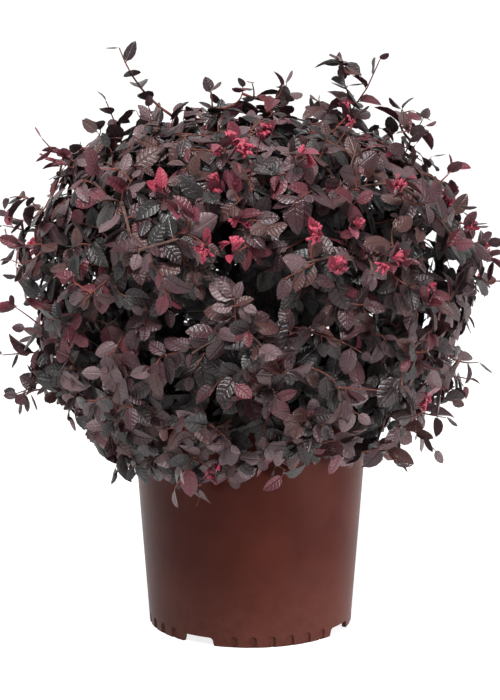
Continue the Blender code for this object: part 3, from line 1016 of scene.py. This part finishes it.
class Twig:
    """A twig's line, its radii at both ends, how far out it may reach, its kind and its leaves' tone."""

    def __init__(self, points, radii, beyond, kind):
        self.points = points
        self.radii = radii
        self.beyond = beyond
        self.kind = kind
        self.tone = None


class Mass:
    """One mass of foliage with the joints that its next twigs may leave from."""

    def __init__(self, name):
        self.centre = CENTRES[name]
        self.joints = [self.centre]
        self.ways = [(self.centre - MOUND_CENTRE).normalized()]

    def add_twig(self, target, radii, beyond, kind, short=0.0, arrive=None):
        """A bent twig from the nearest joint to the target, or None where it would leave the reach."""
        places = np.array([tuple(joint) for joint in self.joints])
        far = np.linalg.norm(places - np.array(target), axis=1)
        near_stem = np.linalg.norm(places - np.array(self.centre), axis=1)
        best = int(np.argmin(far + NEAR_THE_STEM * near_stem))
        start = self.joints[best]
        run = target - start
        end = start + run * max(0.3, 1 - short / run.length)
        length = (end - start).length
        middle = start.lerp(end, 0.45) + self.ways[best] * length * 0.12 + Vector((0, 0, LIFT_SHARE * length))
        if arrive:
            middle = end - arrive * length * 0.55
        points = [bend(start, middle, end, step / TWIG_POINTS) for step in range(TWIG_POINTS + 1)]
        if not in_reach(points, beyond) or (kind in ("fine", "shoot") and in_sky_gap(points)):
            return None
        for step in range(1, TWIG_POINTS):
            self.joints.append(points[step])
            self.ways.append((points[step + 1] - points[step]).normalized())
        twig = Twig(points, radii, beyond, kind)
        twigs.append(twig)
        return twig


def jitter(rng, amount):
    return Vector([rng.gauss(0, amount) for _ in range(3)])


def fine_targets(rng):
    """Targets of the fine twigs: on the mound and in layers under its surface, each a little moved."""
    depths = [depth for depth, _ in FINE_DEPTHS]
    shares = [share for _, share in FINE_DEPTHS]
    for target in spiral_targets(FINE_TWIGS, turn_by=1.0):
        outward = (target - MOUND_CENTRE).normalized()
        depth = rng.choices(depths, shares)[0] - depth_in_leaves(target)
        moved = Vector([rng.uniform(-TARGET_JITTER, TARGET_JITTER) for _ in range(3)])
        yield target - outward * depth + moved


twigs = []
masses = {name: Mass(name) for name in CENTRES}
growth = random.Random(SEED)
for azimuth, distance, height, side_twigs, tone in LEADERS:
    tip = polar(azimuth, distance, height)
    upright = UPRIGHT_ON_TOP if tip.z > SHOULDER_HEIGHT else UPRIGHT_ON_SIDES
    arrive = (tip - MOUND_CENTRE).normalized() * (1 - upright) + Vector((0, 0, upright))
    mass = masses[nearest_mass(tip)]
    leader = mass.add_twig(tip, LEADER_RADII, LEADER_OUT, "leader", 0.010, arrive.normalized())
    leader.tone = tone
    for share in np.linspace(*SIDE_TWIG_SHARES, side_twigs):
        foot = bend(leader.points[0], leader.points[TWIG_POINTS // 2], leader.points[-1], share)
        way = (arrive.normalized() + jitter(growth, 0.6)).normalized()
        target = foot + way * growth.uniform(*SIDE_TWIG_LENGTH)
        side_twig = mass.add_twig(target, FINE_TWIG_RADII, LEADER_OUT, "side")
        if side_twig:
            side_twig.tone = tone
for target in sorted(spiral_targets(MAIN_TWIGS), key=lambda point: (point - MOUND_CENTRE).length):
    masses[nearest_mass(target)].add_twig(target, MAIN_TWIG_RADII, LEAVES_OUT, "main", short=0.02)
for target in fine_targets(growth):
    masses[nearest_mass(target)].add_twig(target, FINE_TWIG_RADII, LEAVES_OUT, "fine", short=0.012)
for target in growth.sample(spiral_targets(3 * OUTER_SHOOTS, turn_by=2.0), OUTER_SHOOTS):
    outward = (target - MOUND_CENTRE).normalized()
    surface = target + outward * depth_in_leaves(target)
    way = (outward + Vector((0, 0, 0.5))).normalized()
    tip = surface + way * growth.uniform(*OUTER_SHOOT_OUT)
    masses[nearest_mass(tip)].add_twig(tip, FINE_TWIG_RADII, 0.030, "shoot", 0.0, way)
print("Twigs:", len(twigs))

# %% [markdown]
# ## Leaves
#
# A loropetalum leaf is a small oval, about 30 by 18 mm, with a short point, a short stalk and a middle
# rib with a few side veins that press a soft quilting into the blade. One pattern function makes several
# forms from the same outline: flat, folded, arched and twisted ones. Each form is closed, with an upper
# side of four faces across and an under side of two, so it can be repeated thousands of times.

# %% Make the leaf patterns
LEAF_LENGTH = 0.035
LEAF_WIDTH = 0.0222
LEAF_THICK = 0.0006
# Share of the length and of the half width at each station, from the stalk to the tip
LEAF_STATIONS = (
    (0.00, 0.05),
    (0.09, 0.10),
    (0.20, 0.72),
    (0.42, 1.00),
    (0.67, 0.90),
    (0.87, 0.53),
)
# Fold along the rib, how far the margins bend down, arch along the length, twist in degrees and width
LEAF_FORMS = (
    (0.10, 0.30, 0.35, 0, 1.00),
    (0.30, 0.05, 0.55, 8, 0.95),
    (0.05, 0.45, 0.20, -10, 1.06),
    (0.22, 0.20, 0.05, 14, 1.00),
    (-0.10, 0.15, 0.50, -6, 1.04),
    (0.45, 0.00, 0.75, -14, 0.90),
)
# Young leaves are narrow and nearly shut
YOUNG_LEAF_FORMS = (
    (0.80, 0.00, 0.20, 6, 0.72),
    (0.55, 0.10, 0.60, -8, 0.84),
    (0.35, 0.20, -0.25, 12, 0.92),
)
QUILTING = 0.0007


def leaf_point(share, across, width, fold, cup, arch, twist_deg):
    """A point of the blade's upper side, for a share of the length and a place across it."""
    x = across * width * LEAF_WIDTH / 2
    y = share * LEAF_LENGTH
    z = fold * abs(x) - cup * x * x / (LEAF_WIDTH / 2) - arch * share * share * LEAF_LENGTH * 0.5
    angle = math.radians(twist_deg) * share
    return Vector((x * math.cos(angle) - z * math.sin(angle), y, x * math.sin(angle) + z * math.cos(angle)))


def leaf_pattern(name, fold, cup, arch, twist_deg, width):
    """A closed leaf with its root at the origin, along +Y, its upper side to +Z."""
    shape = bmesh.new()
    under = shape.faces.layers.bool.new("under")
    uv = shape.loops.layers.uv.new("UVMap")
    across_top = (-1, -0.5, 0, 0.5, 1)
    rows = []
    flat = {}
    for number, (share, half) in enumerate(LEAF_STATIONS):
        row = []
        for across in across_top:
            point = leaf_point(share, across * half, width, fold, cup, arch, twist_deg)
            if abs(across) == 0.5 and 1 < number:
                point.z += QUILTING * (1 if number % 2 else 0.2)
            row.append(shape.verts.new(point))
            flat[row[-1]] = (0.5 + across * half / 2, share)
        keel = shape.verts.new(leaf_point(share, 0, width, fold, cup, arch, twist_deg) - Vector((0, 0, LEAF_THICK)))
        flat[keel] = (0.5, share)
        rows.append((row, keel))
    tip = shape.verts.new(leaf_point(1, 0, width, fold, cup, arch, twist_deg))
    flat[tip] = (0.5, 1)
    for (low, low_keel), (high, high_keel) in zip(rows, rows[1:]):
        for column in range(4):
            shape.faces.new((low[column], low[column + 1], high[column + 1], high[column]))
        shape.faces.new((low_keel, low[0], high[0], high_keel))[under] = True
        shape.faces.new((low[4], low_keel, high_keel, high[4]))[under] = True
    last, last_keel = rows[-1]
    for column in range(4):
        shape.faces.new((last[column], last[column + 1], tip))
    shape.faces.new((last_keel, last[0], tip))[under] = True
    shape.faces.new((last[4], last_keel, tip))[under] = True
    first, first_keel = rows[0]
    shape.faces.new([first_keel] + list(reversed(first)))[under] = True
    for face in shape.faces:
        face.smooth = True
        for loop in face.loops:
            loop[uv].uv = flat[loop.vert]
    for edge in shape.edges:
        kinds = {face[under] for face in edge.link_faces}
        edge.smooth = len(kinds) == 1
    return mesh_from(shape, name)


leaf_forms = [leaf_pattern(f"leaf_{number}", *form) for number, form in enumerate(LEAF_FORMS)]
young_forms = [leaf_pattern(f"young_leaf_{number}", *form) for number, form in enumerate(YOUNG_LEAF_FORMS)]
print("Leaf forms:", len(leaf_forms), "with", len(leaf_forms[0].polygons), "faces each")

# %% [markdown]
# The leaf colours are plain values, one finish for each tone, because a spray has one age and so one
# colour. Old leaves are plum to charcoal, and the newest are wine red to hot pink. Some are mauve grey,
# a paler tone of their own that also paints the sheen where the light catches their fine hairs. Leaves
# deep in the crown get two near-black tones, which paint the shade inside the crown. The veins are a bump
# on the leaf's own map, and a slight sheen stands for the hairs.

# %% Make the leaf finishes
SIDE_VEINS = 6
VEIN_SLANT = 2.4
# Upper colour, under colour, roughness and how often an old spray has the tone
TONES = {
    "plum": ((0.034, 0.0105, 0.0140), (0.064, 0.028, 0.034), 0.31, 0.25),
    "dark_plum": ((0.0135, 0.0050, 0.0064), (0.038, 0.020, 0.023), 0.28, 0.19),
    "brown_plum": ((0.048, 0.0175, 0.0160), (0.068, 0.037, 0.034), 0.33, 0.17),
    "charcoal": ((0.0145, 0.0115, 0.0115), (0.040, 0.031, 0.030), 0.28, 0.15),
    # Mauve grey is a paler leaf tone of its own that also paints the sheen of light on the fine hairs
    "mauve": ((0.088, 0.0500, 0.0550), (0.130, 0.088, 0.093), 0.35, 0.13),
    "wine": ((0.074, 0.0115, 0.0180), (0.090, 0.027, 0.035), 0.31, 0.09),
    # The next two tones are near-black and paint the shade deep inside the crown
    "dim": ((0.0120, 0.0058, 0.0058), (0.022, 0.012, 0.012), 0.40, 0.0),
    "shade": ((0.0065, 0.0035, 0.0035), (0.012, 0.007, 0.007), 0.50, 0.0),
    "rose": ((0.155, 0.031, 0.048), (0.240, 0.060, 0.085), 0.42, 0.0),
    "crimson": ((0.235, 0.023, 0.046), (0.310, 0.045, 0.075), 0.42, 0.0),
}


def leaf_veins(tree):
    """Height of the blade: a groove along the rib and slanting grooves for the side veins."""
    split = tree.nodes.new("ShaderNodeSeparateXYZ")
    tree.links.new(tree.nodes.new("ShaderNodeUVMap").outputs["UV"], split.inputs["Vector"])
    across = calculate(tree, "ABSOLUTE", calculate(tree, "SUBTRACT", split.outputs["X"], 0.5))
    slanted = calculate(tree, "MULTIPLY", across, VEIN_SLANT)
    along = calculate(tree, "SUBTRACT", calculate(tree, "MULTIPLY", split.outputs["Y"], SIDE_VEINS), slanted)
    saw = calculate(tree, "ABSOLUTE", calculate(tree, "SUBTRACT", calculate(tree, "FRACT", along), 0.5))
    side_vein = calculate(tree, "POWER", calculate(tree, "MULTIPLY", saw, 2.0), 3.0)
    rib = calculate(tree, "SUBTRACT", 1.0, calculate(tree, "MINIMUM", calculate(tree, "MULTIPLY", across, 14.0), 1.0))
    deepest = calculate(tree, "MAXIMUM", calculate(tree, "MULTIPLY", side_vein, 0.55), rib)
    puckers = noise_texture(tree, tree.nodes.new("ShaderNodeUVMap").outputs["UV"], 16, detail=3)
    return calculate(tree, "SUBTRACT", calculate(tree, "MULTIPLY", puckers, 0.9), deepest)


def leaf_finish(name, colour, roughness):
    material = new_finish(
        name, colour, roughness, Sheen_Weight=0.02, Sheen_Roughness=0.4, Specular_IOR_Level=0.42
    )
    add_bump(material.node_tree, leaf_veins(material.node_tree), 0.0006, 1.0)
    return material


leaf_finishes = {}
for tone, (upper, below, roughness, _) in TONES.items():
    above = leaf_finish(f"{tone} leaf", upper, roughness)
    leaf_finishes[tone] = (above, leaf_finish(f"{tone} leaf underside", below, roughness + 0.16))
print("Leaf finishes:", ", ".join(leaf_finishes))

# %% [markdown]
# ## Leaves on the twigs
#
# Leaves stand on a twig in two ranks, one by one, from its bare foot to its tip, where they get smaller.
# A blade turns its upper side to the light: out of the crown and up, and its tip hangs a little. A leaf
# that would leave the crown's reach, touch the pot or lie on top of another is left out.

# %% Deal the leaves out
LEAF_SPACING = {"leader": 0.0165, "side": 0.0110, "main": 0.016, "fine": 0.0120, "shoot": 0.0110}
BARE_FOOT = {"leader": 0.30, "side": 0.10, "main": 0.35, "fine": 0.12, "shoot": 0.10}
CLOSEST_LEAVES = 0.0058
LIGHT_OUT = 0.80
LIGHT_UP = 0.42
FACE_JITTER = 0.34
SIDE_WAY = 0.95
DOWN_WAY = 0.30
OTHER_TONE = 0.34
TIP_SIZES = (0.55, 0.74, 0.88)
HALF_SHADE_DEPTH = 0.034
SHADE_DEPTH = 0.052
SHADE_EDGE = 0.012


class Placed:
    """A leaf or flower in its place."""

    def __init__(self, root, turn, size, form):
        self.root = root
        self.turn = turn
        self.size = size
        self.form = form


def turned_to(along, face):
    """The turn that lays a pattern along a direction with its top to the face."""
    side = along.cross(face).normalized()
    up = side.cross(along).normalized()
    return Matrix((side, along.normalized(), up)).transposed().to_quaternion()


class Crowding:
    """Remembers where leaves are, in small boxes, so that two never lie in the same place."""

    def __init__(self, closest):
        self.closest = closest
        self.boxes = {}

    def key(self, point):
        return tuple(int(math.floor(value / self.closest)) for value in point)

    def free(self, point):
        x, y, z = self.key(point)
        for near in ((x + i, y + j, z + k) for i in (-1, 0, 1) for j in (-1, 0, 1) for k in (-1, 0, 1)):
            if any((point - other).length < self.closest for other in self.boxes.get(near, ())):
                return False
        return True

    def add(self, point):
        self.boxes.setdefault(self.key(point), []).append(point)


placed = {tone: [] for tone in TONES}
crowding = Crowding(CLOSEST_LEAVES)


def put_leaf(tone, root, along, face, size, form, beyond):
    """Puts a leaf where it keeps to the crown's reach and has room."""
    turn = turned_to(along, face)
    way = turn @ Vector((0, 1, 0))
    tip = root + way * LEAF_LENGTH * size
    middle = root.lerp(tip, 0.5)
    if not in_reach((middle, tip), beyond) or not crowding.free(middle):
        return False
    if in_sky_gap((root.lerp(tip, 0.25), middle, root.lerp(tip, 0.75), tip), LEAF_WIDTH * size * 0.25):
        return False
    crowding.add(middle)
    placed[tone].append(Placed(root, turn, size, form))
    return True


def pick_tone(rng):
    tones = list(TONES)
    return rng.choices(tones, [TONES[tone][3] for tone in tones])[0]


def dress_twig(twig, rng):
    """Leaves along one twig, in the spray's tone with a few of another, and in painted shade deep in the crown."""
    length = sum((after - before).length for before, after in zip(twig.points, twig.points[1:]))
    leafy = length * (1 - BARE_FOOT[twig.kind])
    count = max(2, round(leafy / LEAF_SPACING[twig.kind]))
    tone = twig.tone or pick_tone(rng)
    rank = rng.uniform(0, math.tau)
    for number in range(count + 1):
        share = 1 - (1 - BARE_FOOT[twig.kind]) * number / count
        spot = share * TWIG_POINTS
        index = min(int(spot), TWIG_POINTS - 1)
        before, after = twig.points[index], twig.points[index + 1]
        root = before.lerp(after, spot - index)
        along = (after - before).normalized()
        outward = (root - MOUND_CENTRE).normalized()
        face = outward * LIGHT_OUT + Vector((0, 0, LIGHT_UP)) + jitter(rng, FACE_JITTER)
        side = along.cross(outward)
        side = side.normalized() if side.length > 0.1 else along.orthogonal().normalized()
        side = Matrix.Rotation(0.5 * math.sin(rank + number), 3, outward) @ side
        side *= 1 if number % 2 else -1
        way = along * 0.75 + side * (SIDE_WAY if number else 0.15) + jitter(rng, 0.22)
        way -= Vector((0, 0, DOWN_WAY)) if twig.kind != "leader" else Vector()
        size = rng.uniform(0.72, 1.12) * (TIP_SIZES[number] if number < len(TIP_SIZES) else 1)
        own = pick_tone(rng) if rng.random() < OTHER_TONE else tone
        # Deep in the crown a leaf takes one of the two near-black tones, which paint the shade there
        depth = depth_in_leaves(root) + rng.uniform(-SHADE_EDGE, SHADE_EDGE)
        if depth > HALF_SHADE_DEPTH:
            own = "shade" if depth > SHADE_DEPTH else "dim"
        put_leaf(own, root, way, face, size, rng.randrange(len(LEAF_FORMS)), twig.beyond + 0.004)


leafing = random.Random(SEED + 1)
for twig in twigs:
    dress_twig(twig, leafing)
print("Leaves:", {tone: len(leaves) for tone, leaves in placed.items()})

# %% Build the leaves
COPY_INPUTS = (
    ("Forms", "NodeSocketCollection"),
    ("Finish", "NodeSocketMaterial"),
    ("Under finish", "NodeSocketMaterial"),
)


def copying_tree():
    """Puts the picked form on each point, turned and sized as the point says."""
    tree, start, end = new_tree("Copies on points", COPY_INPUTS)
    forms = tree.nodes.new("GeometryNodeCollectionInfo")
    forms.inputs["Separate Children"].default_value = True
    forms.inputs["Reset Children"].default_value = True
    tree.links.new(start.outputs["Forms"], forms.inputs["Collection"])
    copies = tree.nodes.new("GeometryNodeInstanceOnPoints")
    copies.inputs["Pick Instance"].default_value = True
    tree.links.new(start.outputs["Geometry"], copies.inputs["Points"])
    tree.links.new(forms.outputs["Instances"], copies.inputs["Instance"])
    tree.links.new(carried(tree, "form", "INT"), copies.inputs["Instance Index"])
    tree.links.new(carried(tree, "turn", "QUATERNION"), copies.inputs["Rotation"])
    tree.links.new(carried(tree, "size", "FLOAT"), copies.inputs["Scale"])
    paint = realize_and_finish(tree, copies.outputs["Instances"], start.outputs["Finish"], end)
    paint_under = tree.nodes.new("GeometryNodeSetMaterial")
    tree.links.new(paint.outputs["Geometry"], paint_under.inputs["Geometry"])
    tree.links.new(carried(tree, "under", "BOOLEAN"), paint_under.inputs["Selection"])
    tree.links.new(start.outputs["Under finish"], paint_under.inputs["Material"])
    tree.links.new(paint_under.outputs["Geometry"], end.inputs["Geometry"])
    return tree


def points_object(name, items):
    """A mesh of loose points that carry each item's turn, size and form."""
    mesh = bpy.data.meshes.new(name)
    mesh.from_pydata([tuple(item.root) for item in items], [], [])
    turns = mesh.attributes.new("turn", "QUATERNION", "POINT")
    turns.data.foreach_set("value", [value for item in items for value in item.turn])
    sizes = mesh.attributes.new("size", "FLOAT", "POINT")
    sizes.data.foreach_set("value", [item.size for item in items])
    forms = mesh.attributes.new("form", "INT", "POINT")
    forms.data.foreach_set("value", [item.form for item in items])
    return add_object(name + "_points", mesh)


copy_tree = copying_tree()
all_leaf_forms = forms_collection("leaf_form", leaf_forms + young_forms)


def build_copies(name, items, forms, finishes):
    """Builds one piece of leaves or flowers, which stands for the masses of foliage."""
    values = {"Forms": forms, "Finish": finishes[0], "Under finish": finishes[1]}
    piece = run_tree(points_object(name, items), copy_tree, values, name)
    finish_piece(piece, "foliage", *MASSES)


# %% [markdown]
# ## New growth and blossom
#
# Here and there a shoot ends in hot pink: the newest leaves, still narrow and half shut, and the
# flowers, each a bundle of ribbon petals that curl as they open. They sit at the ends of sprays, in
# places read from the photograph at the front and dealt out at random round the rest of the crown.

# %% Places of new growth and blossom
# Azimuth and height on the mound
BLOSSOM_PLACES = (
    (-9, 0.546),
    (-4, 0.553),
    (-1, 0.539),
    (-9, 0.511),
    (4, 0.558),
    (14, 0.535),
    (-10, 0.449),
    (-4, 0.442),
    (-3, 0.477),
    (15, 0.459),
    (26, 0.471),
    (40, 0.496),
    (19, 0.427),
    (32, 0.435),
    (47, 0.391),
    (51, 0.280),
    (-26, 0.510),
    (-11, 0.221),
    (59, 0.574),
)
ROSE_PLACES = (
    (-14, 0.477),
    (-18, 0.483),
    (-8, 0.537),
    (-5, 0.512),
    (-45, 0.406),
    (-69, 0.431),
    (-44, 0.512),
    (-36, 0.505),
    (21, 0.424),
    (35, 0.428),
    (54, 0.438),
    (45, 0.506),
    (45, 0.383),
    (-88, 0.524),
)
print("Blossom places:", len(BLOSSOM_PLACES), "and rose places:", len(ROSE_PLACES))

# %% Grow the new shoots
NEW_LEAVES = 3
BACK_PLACES = 34
BACK_HEIGHTS = (0.26, 0.55)
BACK_AZIMUTHS = (75, 285)
PETALS = 14
PETAL_FAN = 1.1
PETAL_LENGTH = 0.0130
PETAL_WIDTH = 0.0029
PETAL_STEPS = 5
FLOWER_FORMS = 4


def on_mound(azimuth, height, out=0.0):
    """The point of the mound's surface at an azimuth and a height."""
    upright = abs(height - CROWN_MIDDLE) / CROWN_HALF_HEIGHT
    radius = CROWN_RADIUS * max(0.0, 1 - upright**CROWN_POWER) ** (1 / CROWN_POWER)
    point = polar(azimuth, radius, height)
    outward = (point - MOUND_CENTRE).normalized()
    return point + outward * (depth_in_leaves(point) + out)


def flower_pattern(number):
    """A brush of ribbon petals that rise from one point and curl over to one side."""
    rng = random.Random(100 + number)
    shape = bmesh.new()
    for _ in range(PETALS):
        angle = rng.uniform(-PETAL_FAN, PETAL_FAN)
        out = Vector((math.cos(angle), math.sin(angle), 0))
        side = Vector((-out.y, out.x, 0)) * PETAL_WIDTH / 2
        lean = rng.uniform(-0.3, 0.7)
        curl = rng.uniform(0.3, 1.8)
        rows = []
        point = Vector()
        for step in range(PETAL_STEPS + 1):
            share = step / PETAL_STEPS
            tilt = lean + curl * share * share
            up = Vector((0, 0, math.cos(tilt))) + out * math.sin(tilt)
            point = point + up * PETAL_LENGTH / PETAL_STEPS
            wide = side * (0.7 + 0.6 * math.sin(math.pi * min(1, share * 0.9 + 0.05)))
            normal = up.cross(side).normalized() * 0.00025
            rows.append([shape.verts.new(point + way) for way in (wide, normal, -wide, -normal)])
        for low, high in zip(rows, rows[1:]):
            for corner in range(4):
                after = (corner + 1) % 4
                shape.faces.new((low[corner], low[after], high[after], high[corner]))
        shape.faces.new(list(reversed(rows[0])))
        shape.faces.new(rows[-1])
    bmesh.ops.recalc_face_normals(shape, faces=shape.faces)
    for face in shape.faces:
        face.smooth = True
    return mesh_from(shape, f"flower_{number}")


blossoms = []


def new_shoot(place, rng, flowers, tones):
    """A short young shoot at the crown's surface with new leaves, and flowers at its tip."""
    outward = (place - MOUND_CENTRE).normalized()
    mass = masses[nearest_mass(place)]
    twig = mass.add_twig(place, FINE_TWIG_RADII, 0.05, "new")
    along = (outward + Vector((0, 0, 0.3)) + jitter(rng, 0.2)).normalized()
    turn = rng.uniform(0, math.tau)
    for number in range(NEW_LEAVES):
        around = turn + number * 2.4
        side = Matrix.Rotation(around, 3, along) @ along.orthogonal().normalized()
        way = along * rng.uniform(0.7, 1.4) + side * rng.uniform(0.3, 0.9) + jitter(rng, 0.3)
        size = rng.uniform(0.42, 0.80)
        form = len(LEAF_FORMS) + rng.randrange(len(YOUNG_LEAF_FORMS))
        root = place - along * 0.004 * number
        put_leaf(rng.choice(tones), root, way, outward + side * 0.5 + Vector((0, 0, 0.3)), size, form, 0.05)
    for _ in range(flowers):
        root = place + jitter(rng, 0.004)
        face = (outward * 0.7 + jitter(rng, 0.5)).normalized()
        turned = face.to_track_quat("Z", "Y") @ Quaternion((0, 0, 1), rng.uniform(0, math.tau))
        blossoms.append(Placed(root, turned, rng.uniform(0.75, 1.10), rng.randrange(FLOWER_FORMS)))
    return twig


budding = random.Random(SEED + 2)
for azimuth, height in BLOSSOM_PLACES:
    new_shoot(on_mound(azimuth, height, 0.006), budding, 2, ("crimson", "rose", "wine", "wine"))
for azimuth, height in ROSE_PLACES:
    new_shoot(on_mound(azimuth, height, 0.006), budding, 0, ("rose", "wine", "wine"))
for number in range(BACK_PLACES):
    azimuth = budding.uniform(*BACK_AZIMUTHS)
    place = on_mound(azimuth, budding.uniform(*BACK_HEIGHTS), 0.006)
    new_shoot(place, budding, 2 * (number % 2), ("crimson", "rose", "wine", "wine"))
print("Flowers:", len(blossoms))

# %% Build leaves, flowers and twigs
for tone, leaves in placed.items():
    build_copies(f"leaves_{tone}", leaves, all_leaf_forms, leaf_finishes[tone])

petal_finish = new_finish("petals", (0.34, 0.026, 0.062), 0.5, Sheen_Weight=0.1)
petal_grain = noise_texture(petal_finish.node_tree, place_coordinates(petal_finish.node_tree), 900)
add_bump(petal_finish.node_tree, petal_grain, 0.0002)
flower_forms = forms_collection("flower_form", [flower_pattern(number) for number in range(FLOWER_FORMS)])
build_copies("blossom", blossoms, flower_forms, (petal_finish, petal_finish))


def tube_tree():
    """Draws a tube along each line, as thick as its points say."""
    tree, start, end = new_tree("Tubes on lines", (("Sides", "NodeSocketInt"), ("Finish", "NodeSocketMaterial")))
    line = tree.nodes.new("GeometryNodeMeshToCurve")
    ring = tree.nodes.new("GeometryNodeCurvePrimitiveCircle")
    ring.inputs["Radius"].default_value = 1
    sweep = tree.nodes.new("GeometryNodeCurveToMesh")
    sweep.inputs["Fill Caps"].default_value = True
    even = tree.nodes.new("GeometryNodeSetShadeSmooth")
    tree.links.new(start.outputs["Geometry"], line.inputs["Mesh"])
    tree.links.new(line.outputs["Curve"], sweep.inputs["Curve"])
    tree.links.new(start.outputs["Sides"], ring.inputs["Resolution"])
    tree.links.new(ring.outputs["Curve"], sweep.inputs["Profile Curve"])
    tree.links.new(carried(tree, "thick", "FLOAT"), sweep.inputs["Scale"])
    tree.links.new(sweep.outputs["Mesh"], even.inputs["Geometry"])
    realize_and_finish(tree, even.outputs["Geometry"], start.outputs["Finish"], end)
    return tree


def lines_object(name, chosen):
    """A mesh of loose lines that carry their thickness."""
    corners, edges, thick = [], [], []
    for twig in chosen:
        first = len(corners)
        count = len(twig.points)
        corners += [tuple(point) for point in twig.points]
        edges += [(first + step, first + step + 1) for step in range(count - 1)]
        thick += [mix(twig.radii, step / (count - 1)) for step in range(count)]
    mesh = bpy.data.meshes.new(name)
    mesh.from_pydata(corners, edges, [])
    mesh.attributes.new("thick", "FLOAT", "POINT").data.foreach_set("value", thick)
    return add_object(name + "_lines", mesh)


tubes = tube_tree()
# Kinds of twig, sides of their tubes, then the dark, middle and pale colour of their bark
TWIG_PIECES = {
    "old_twigs": (("main",), 6, (0.030, 0.015, 0.012), (0.075, 0.036, 0.027), (0.14, 0.085, 0.065)),
    "young_twigs": (("fine", "shoot", "side", "leader"), 4, (0.036, 0.009, 0.006), (0.100, 0.023, 0.014), (0.19, 0.05, 0.028)),
    "new_stems": (("new",), 5, (0.070, 0.012, 0.008), (0.150, 0.026, 0.016), (0.24, 0.06, 0.036)),
}
TWIG_GRAIN = 260

for name, (kinds, sides, dark, middle, pale) in TWIG_PIECES.items():
    chosen = [twig for twig in twigs if twig.kind in kinds]
    values = {"Sides": sides, "Finish": bark_finish(name, dark, middle, pale, TWIG_GRAIN)}
    piece = run_tree(lines_object(name, chosen), tubes, values, name)
    finish_piece(piece, "foliage", *MASSES)

# %% [markdown]
# ## Floor and light
#
# The plant stands on a plain pale floor in soft studio light. The world is a white light tent, dimmer at
# the front and on the left. A large lamp above the front gives the leaves their shape, a weaker one fills
# the left, and one behind a grid on the right brightens that side of the pot.

# %% Set the stage
FLOOR_SIZE = 2000.0
FLOOR_WHITE = (0.40, 0.40, 0.40)
FLOOR_GLOW = 0.82
TENT_BEHIND = 1.0
TENT_FRONT = 0.10
TENT_LEAN = 0.25
BAND_TOP = 0.22
BAND_LOW = 0.06

floor_shape = bmesh.new()
bmesh.ops.create_grid(floor_shape, x_segments=1, y_segments=1, size=FLOOR_SIZE / 2)
floor = add_object("floor", mesh_from(floor_shape, "floor"))
floor_finish = new_finish("floor", FLOOR_WHITE, 0.9, Emission_Color=(1, 1, 1, 1), Emission_Strength=FLOOR_GLOW)
floor.data.materials.append(floor_finish)


def light_tent():
    """A white world, dimmer at the front and left than behind the plant, but for a band at the horizon."""
    tent = bpy.data.worlds.new("light tent")
    tent.use_nodes = True
    tree = tent.node_tree
    split = tree.nodes.new("ShaderNodeSeparateXYZ")
    tree.links.new(tree.nodes.new("ShaderNodeTexCoord").outputs["Generated"], split.inputs["Vector"])
    depth = tree.nodes.new("ShaderNodeMapRange")
    depth.interpolation_type = "SMOOTHSTEP"
    for label, value in (("From Min", -0.7), ("From Max", 0.7), ("To Min", TENT_FRONT), ("To Max", TENT_BEHIND)):
        depth.inputs[label].default_value = value
    to_the_right = calculate(tree, "MULTIPLY", split.outputs["X"], TENT_LEAN)
    tree.links.new(calculate(tree, "ADD", split.outputs["Y"], to_the_right), depth.inputs["Value"])
    band = tree.nodes.new("ShaderNodeMapRange")
    band.interpolation_type = "SMOOTHSTEP"
    for label, value in (("From Min", BAND_TOP), ("From Max", BAND_LOW), ("To Min", 0), ("To Max", TENT_BEHIND)):
        band.inputs[label].default_value = value
    tree.links.new(split.outputs["Z"], band.inputs["Value"])
    brighter = calculate(tree, "MAXIMUM", depth.outputs["Result"], band.outputs["Result"])
    background = tree.nodes["Background"]
    background.inputs["Color"].default_value = (1, 1, 1, 1)
    tree.links.new(brighter, background.inputs["Strength"])
    return tent


scene.world = light_tent()
scene.view_settings.view_transform = "Standard"


def add_lamp(name, place, target, size, power, spread_deg=180):
    """A square lamp that shines at a target, through a grid if its spread is small."""
    data = bpy.data.lights.new(name, "AREA")
    data.size = size
    data.energy = power
    data.spread = math.radians(spread_deg)
    lamp = bpy.data.objects.new(name, data)
    scene.collection.objects.link(lamp)
    lamp.location = place
    lamp.rotation_euler = (Vector(target) - Vector(place)).to_track_quat("-Z", "Y").to_euler()


add_lamp("key lamp", (-0.15, -1.35, 2.35), (0, 0, 0.35), 0.6, 98)
add_lamp("side lamp", (2.0, -1.2, 0.30), (0, 0, 0.08), 0.3, 0.80, 16)
add_lamp("fill lamp", (-1.5, -1.1, 2.1), (0, 0, 0.35), 0.9, 14)
print("Stage set")
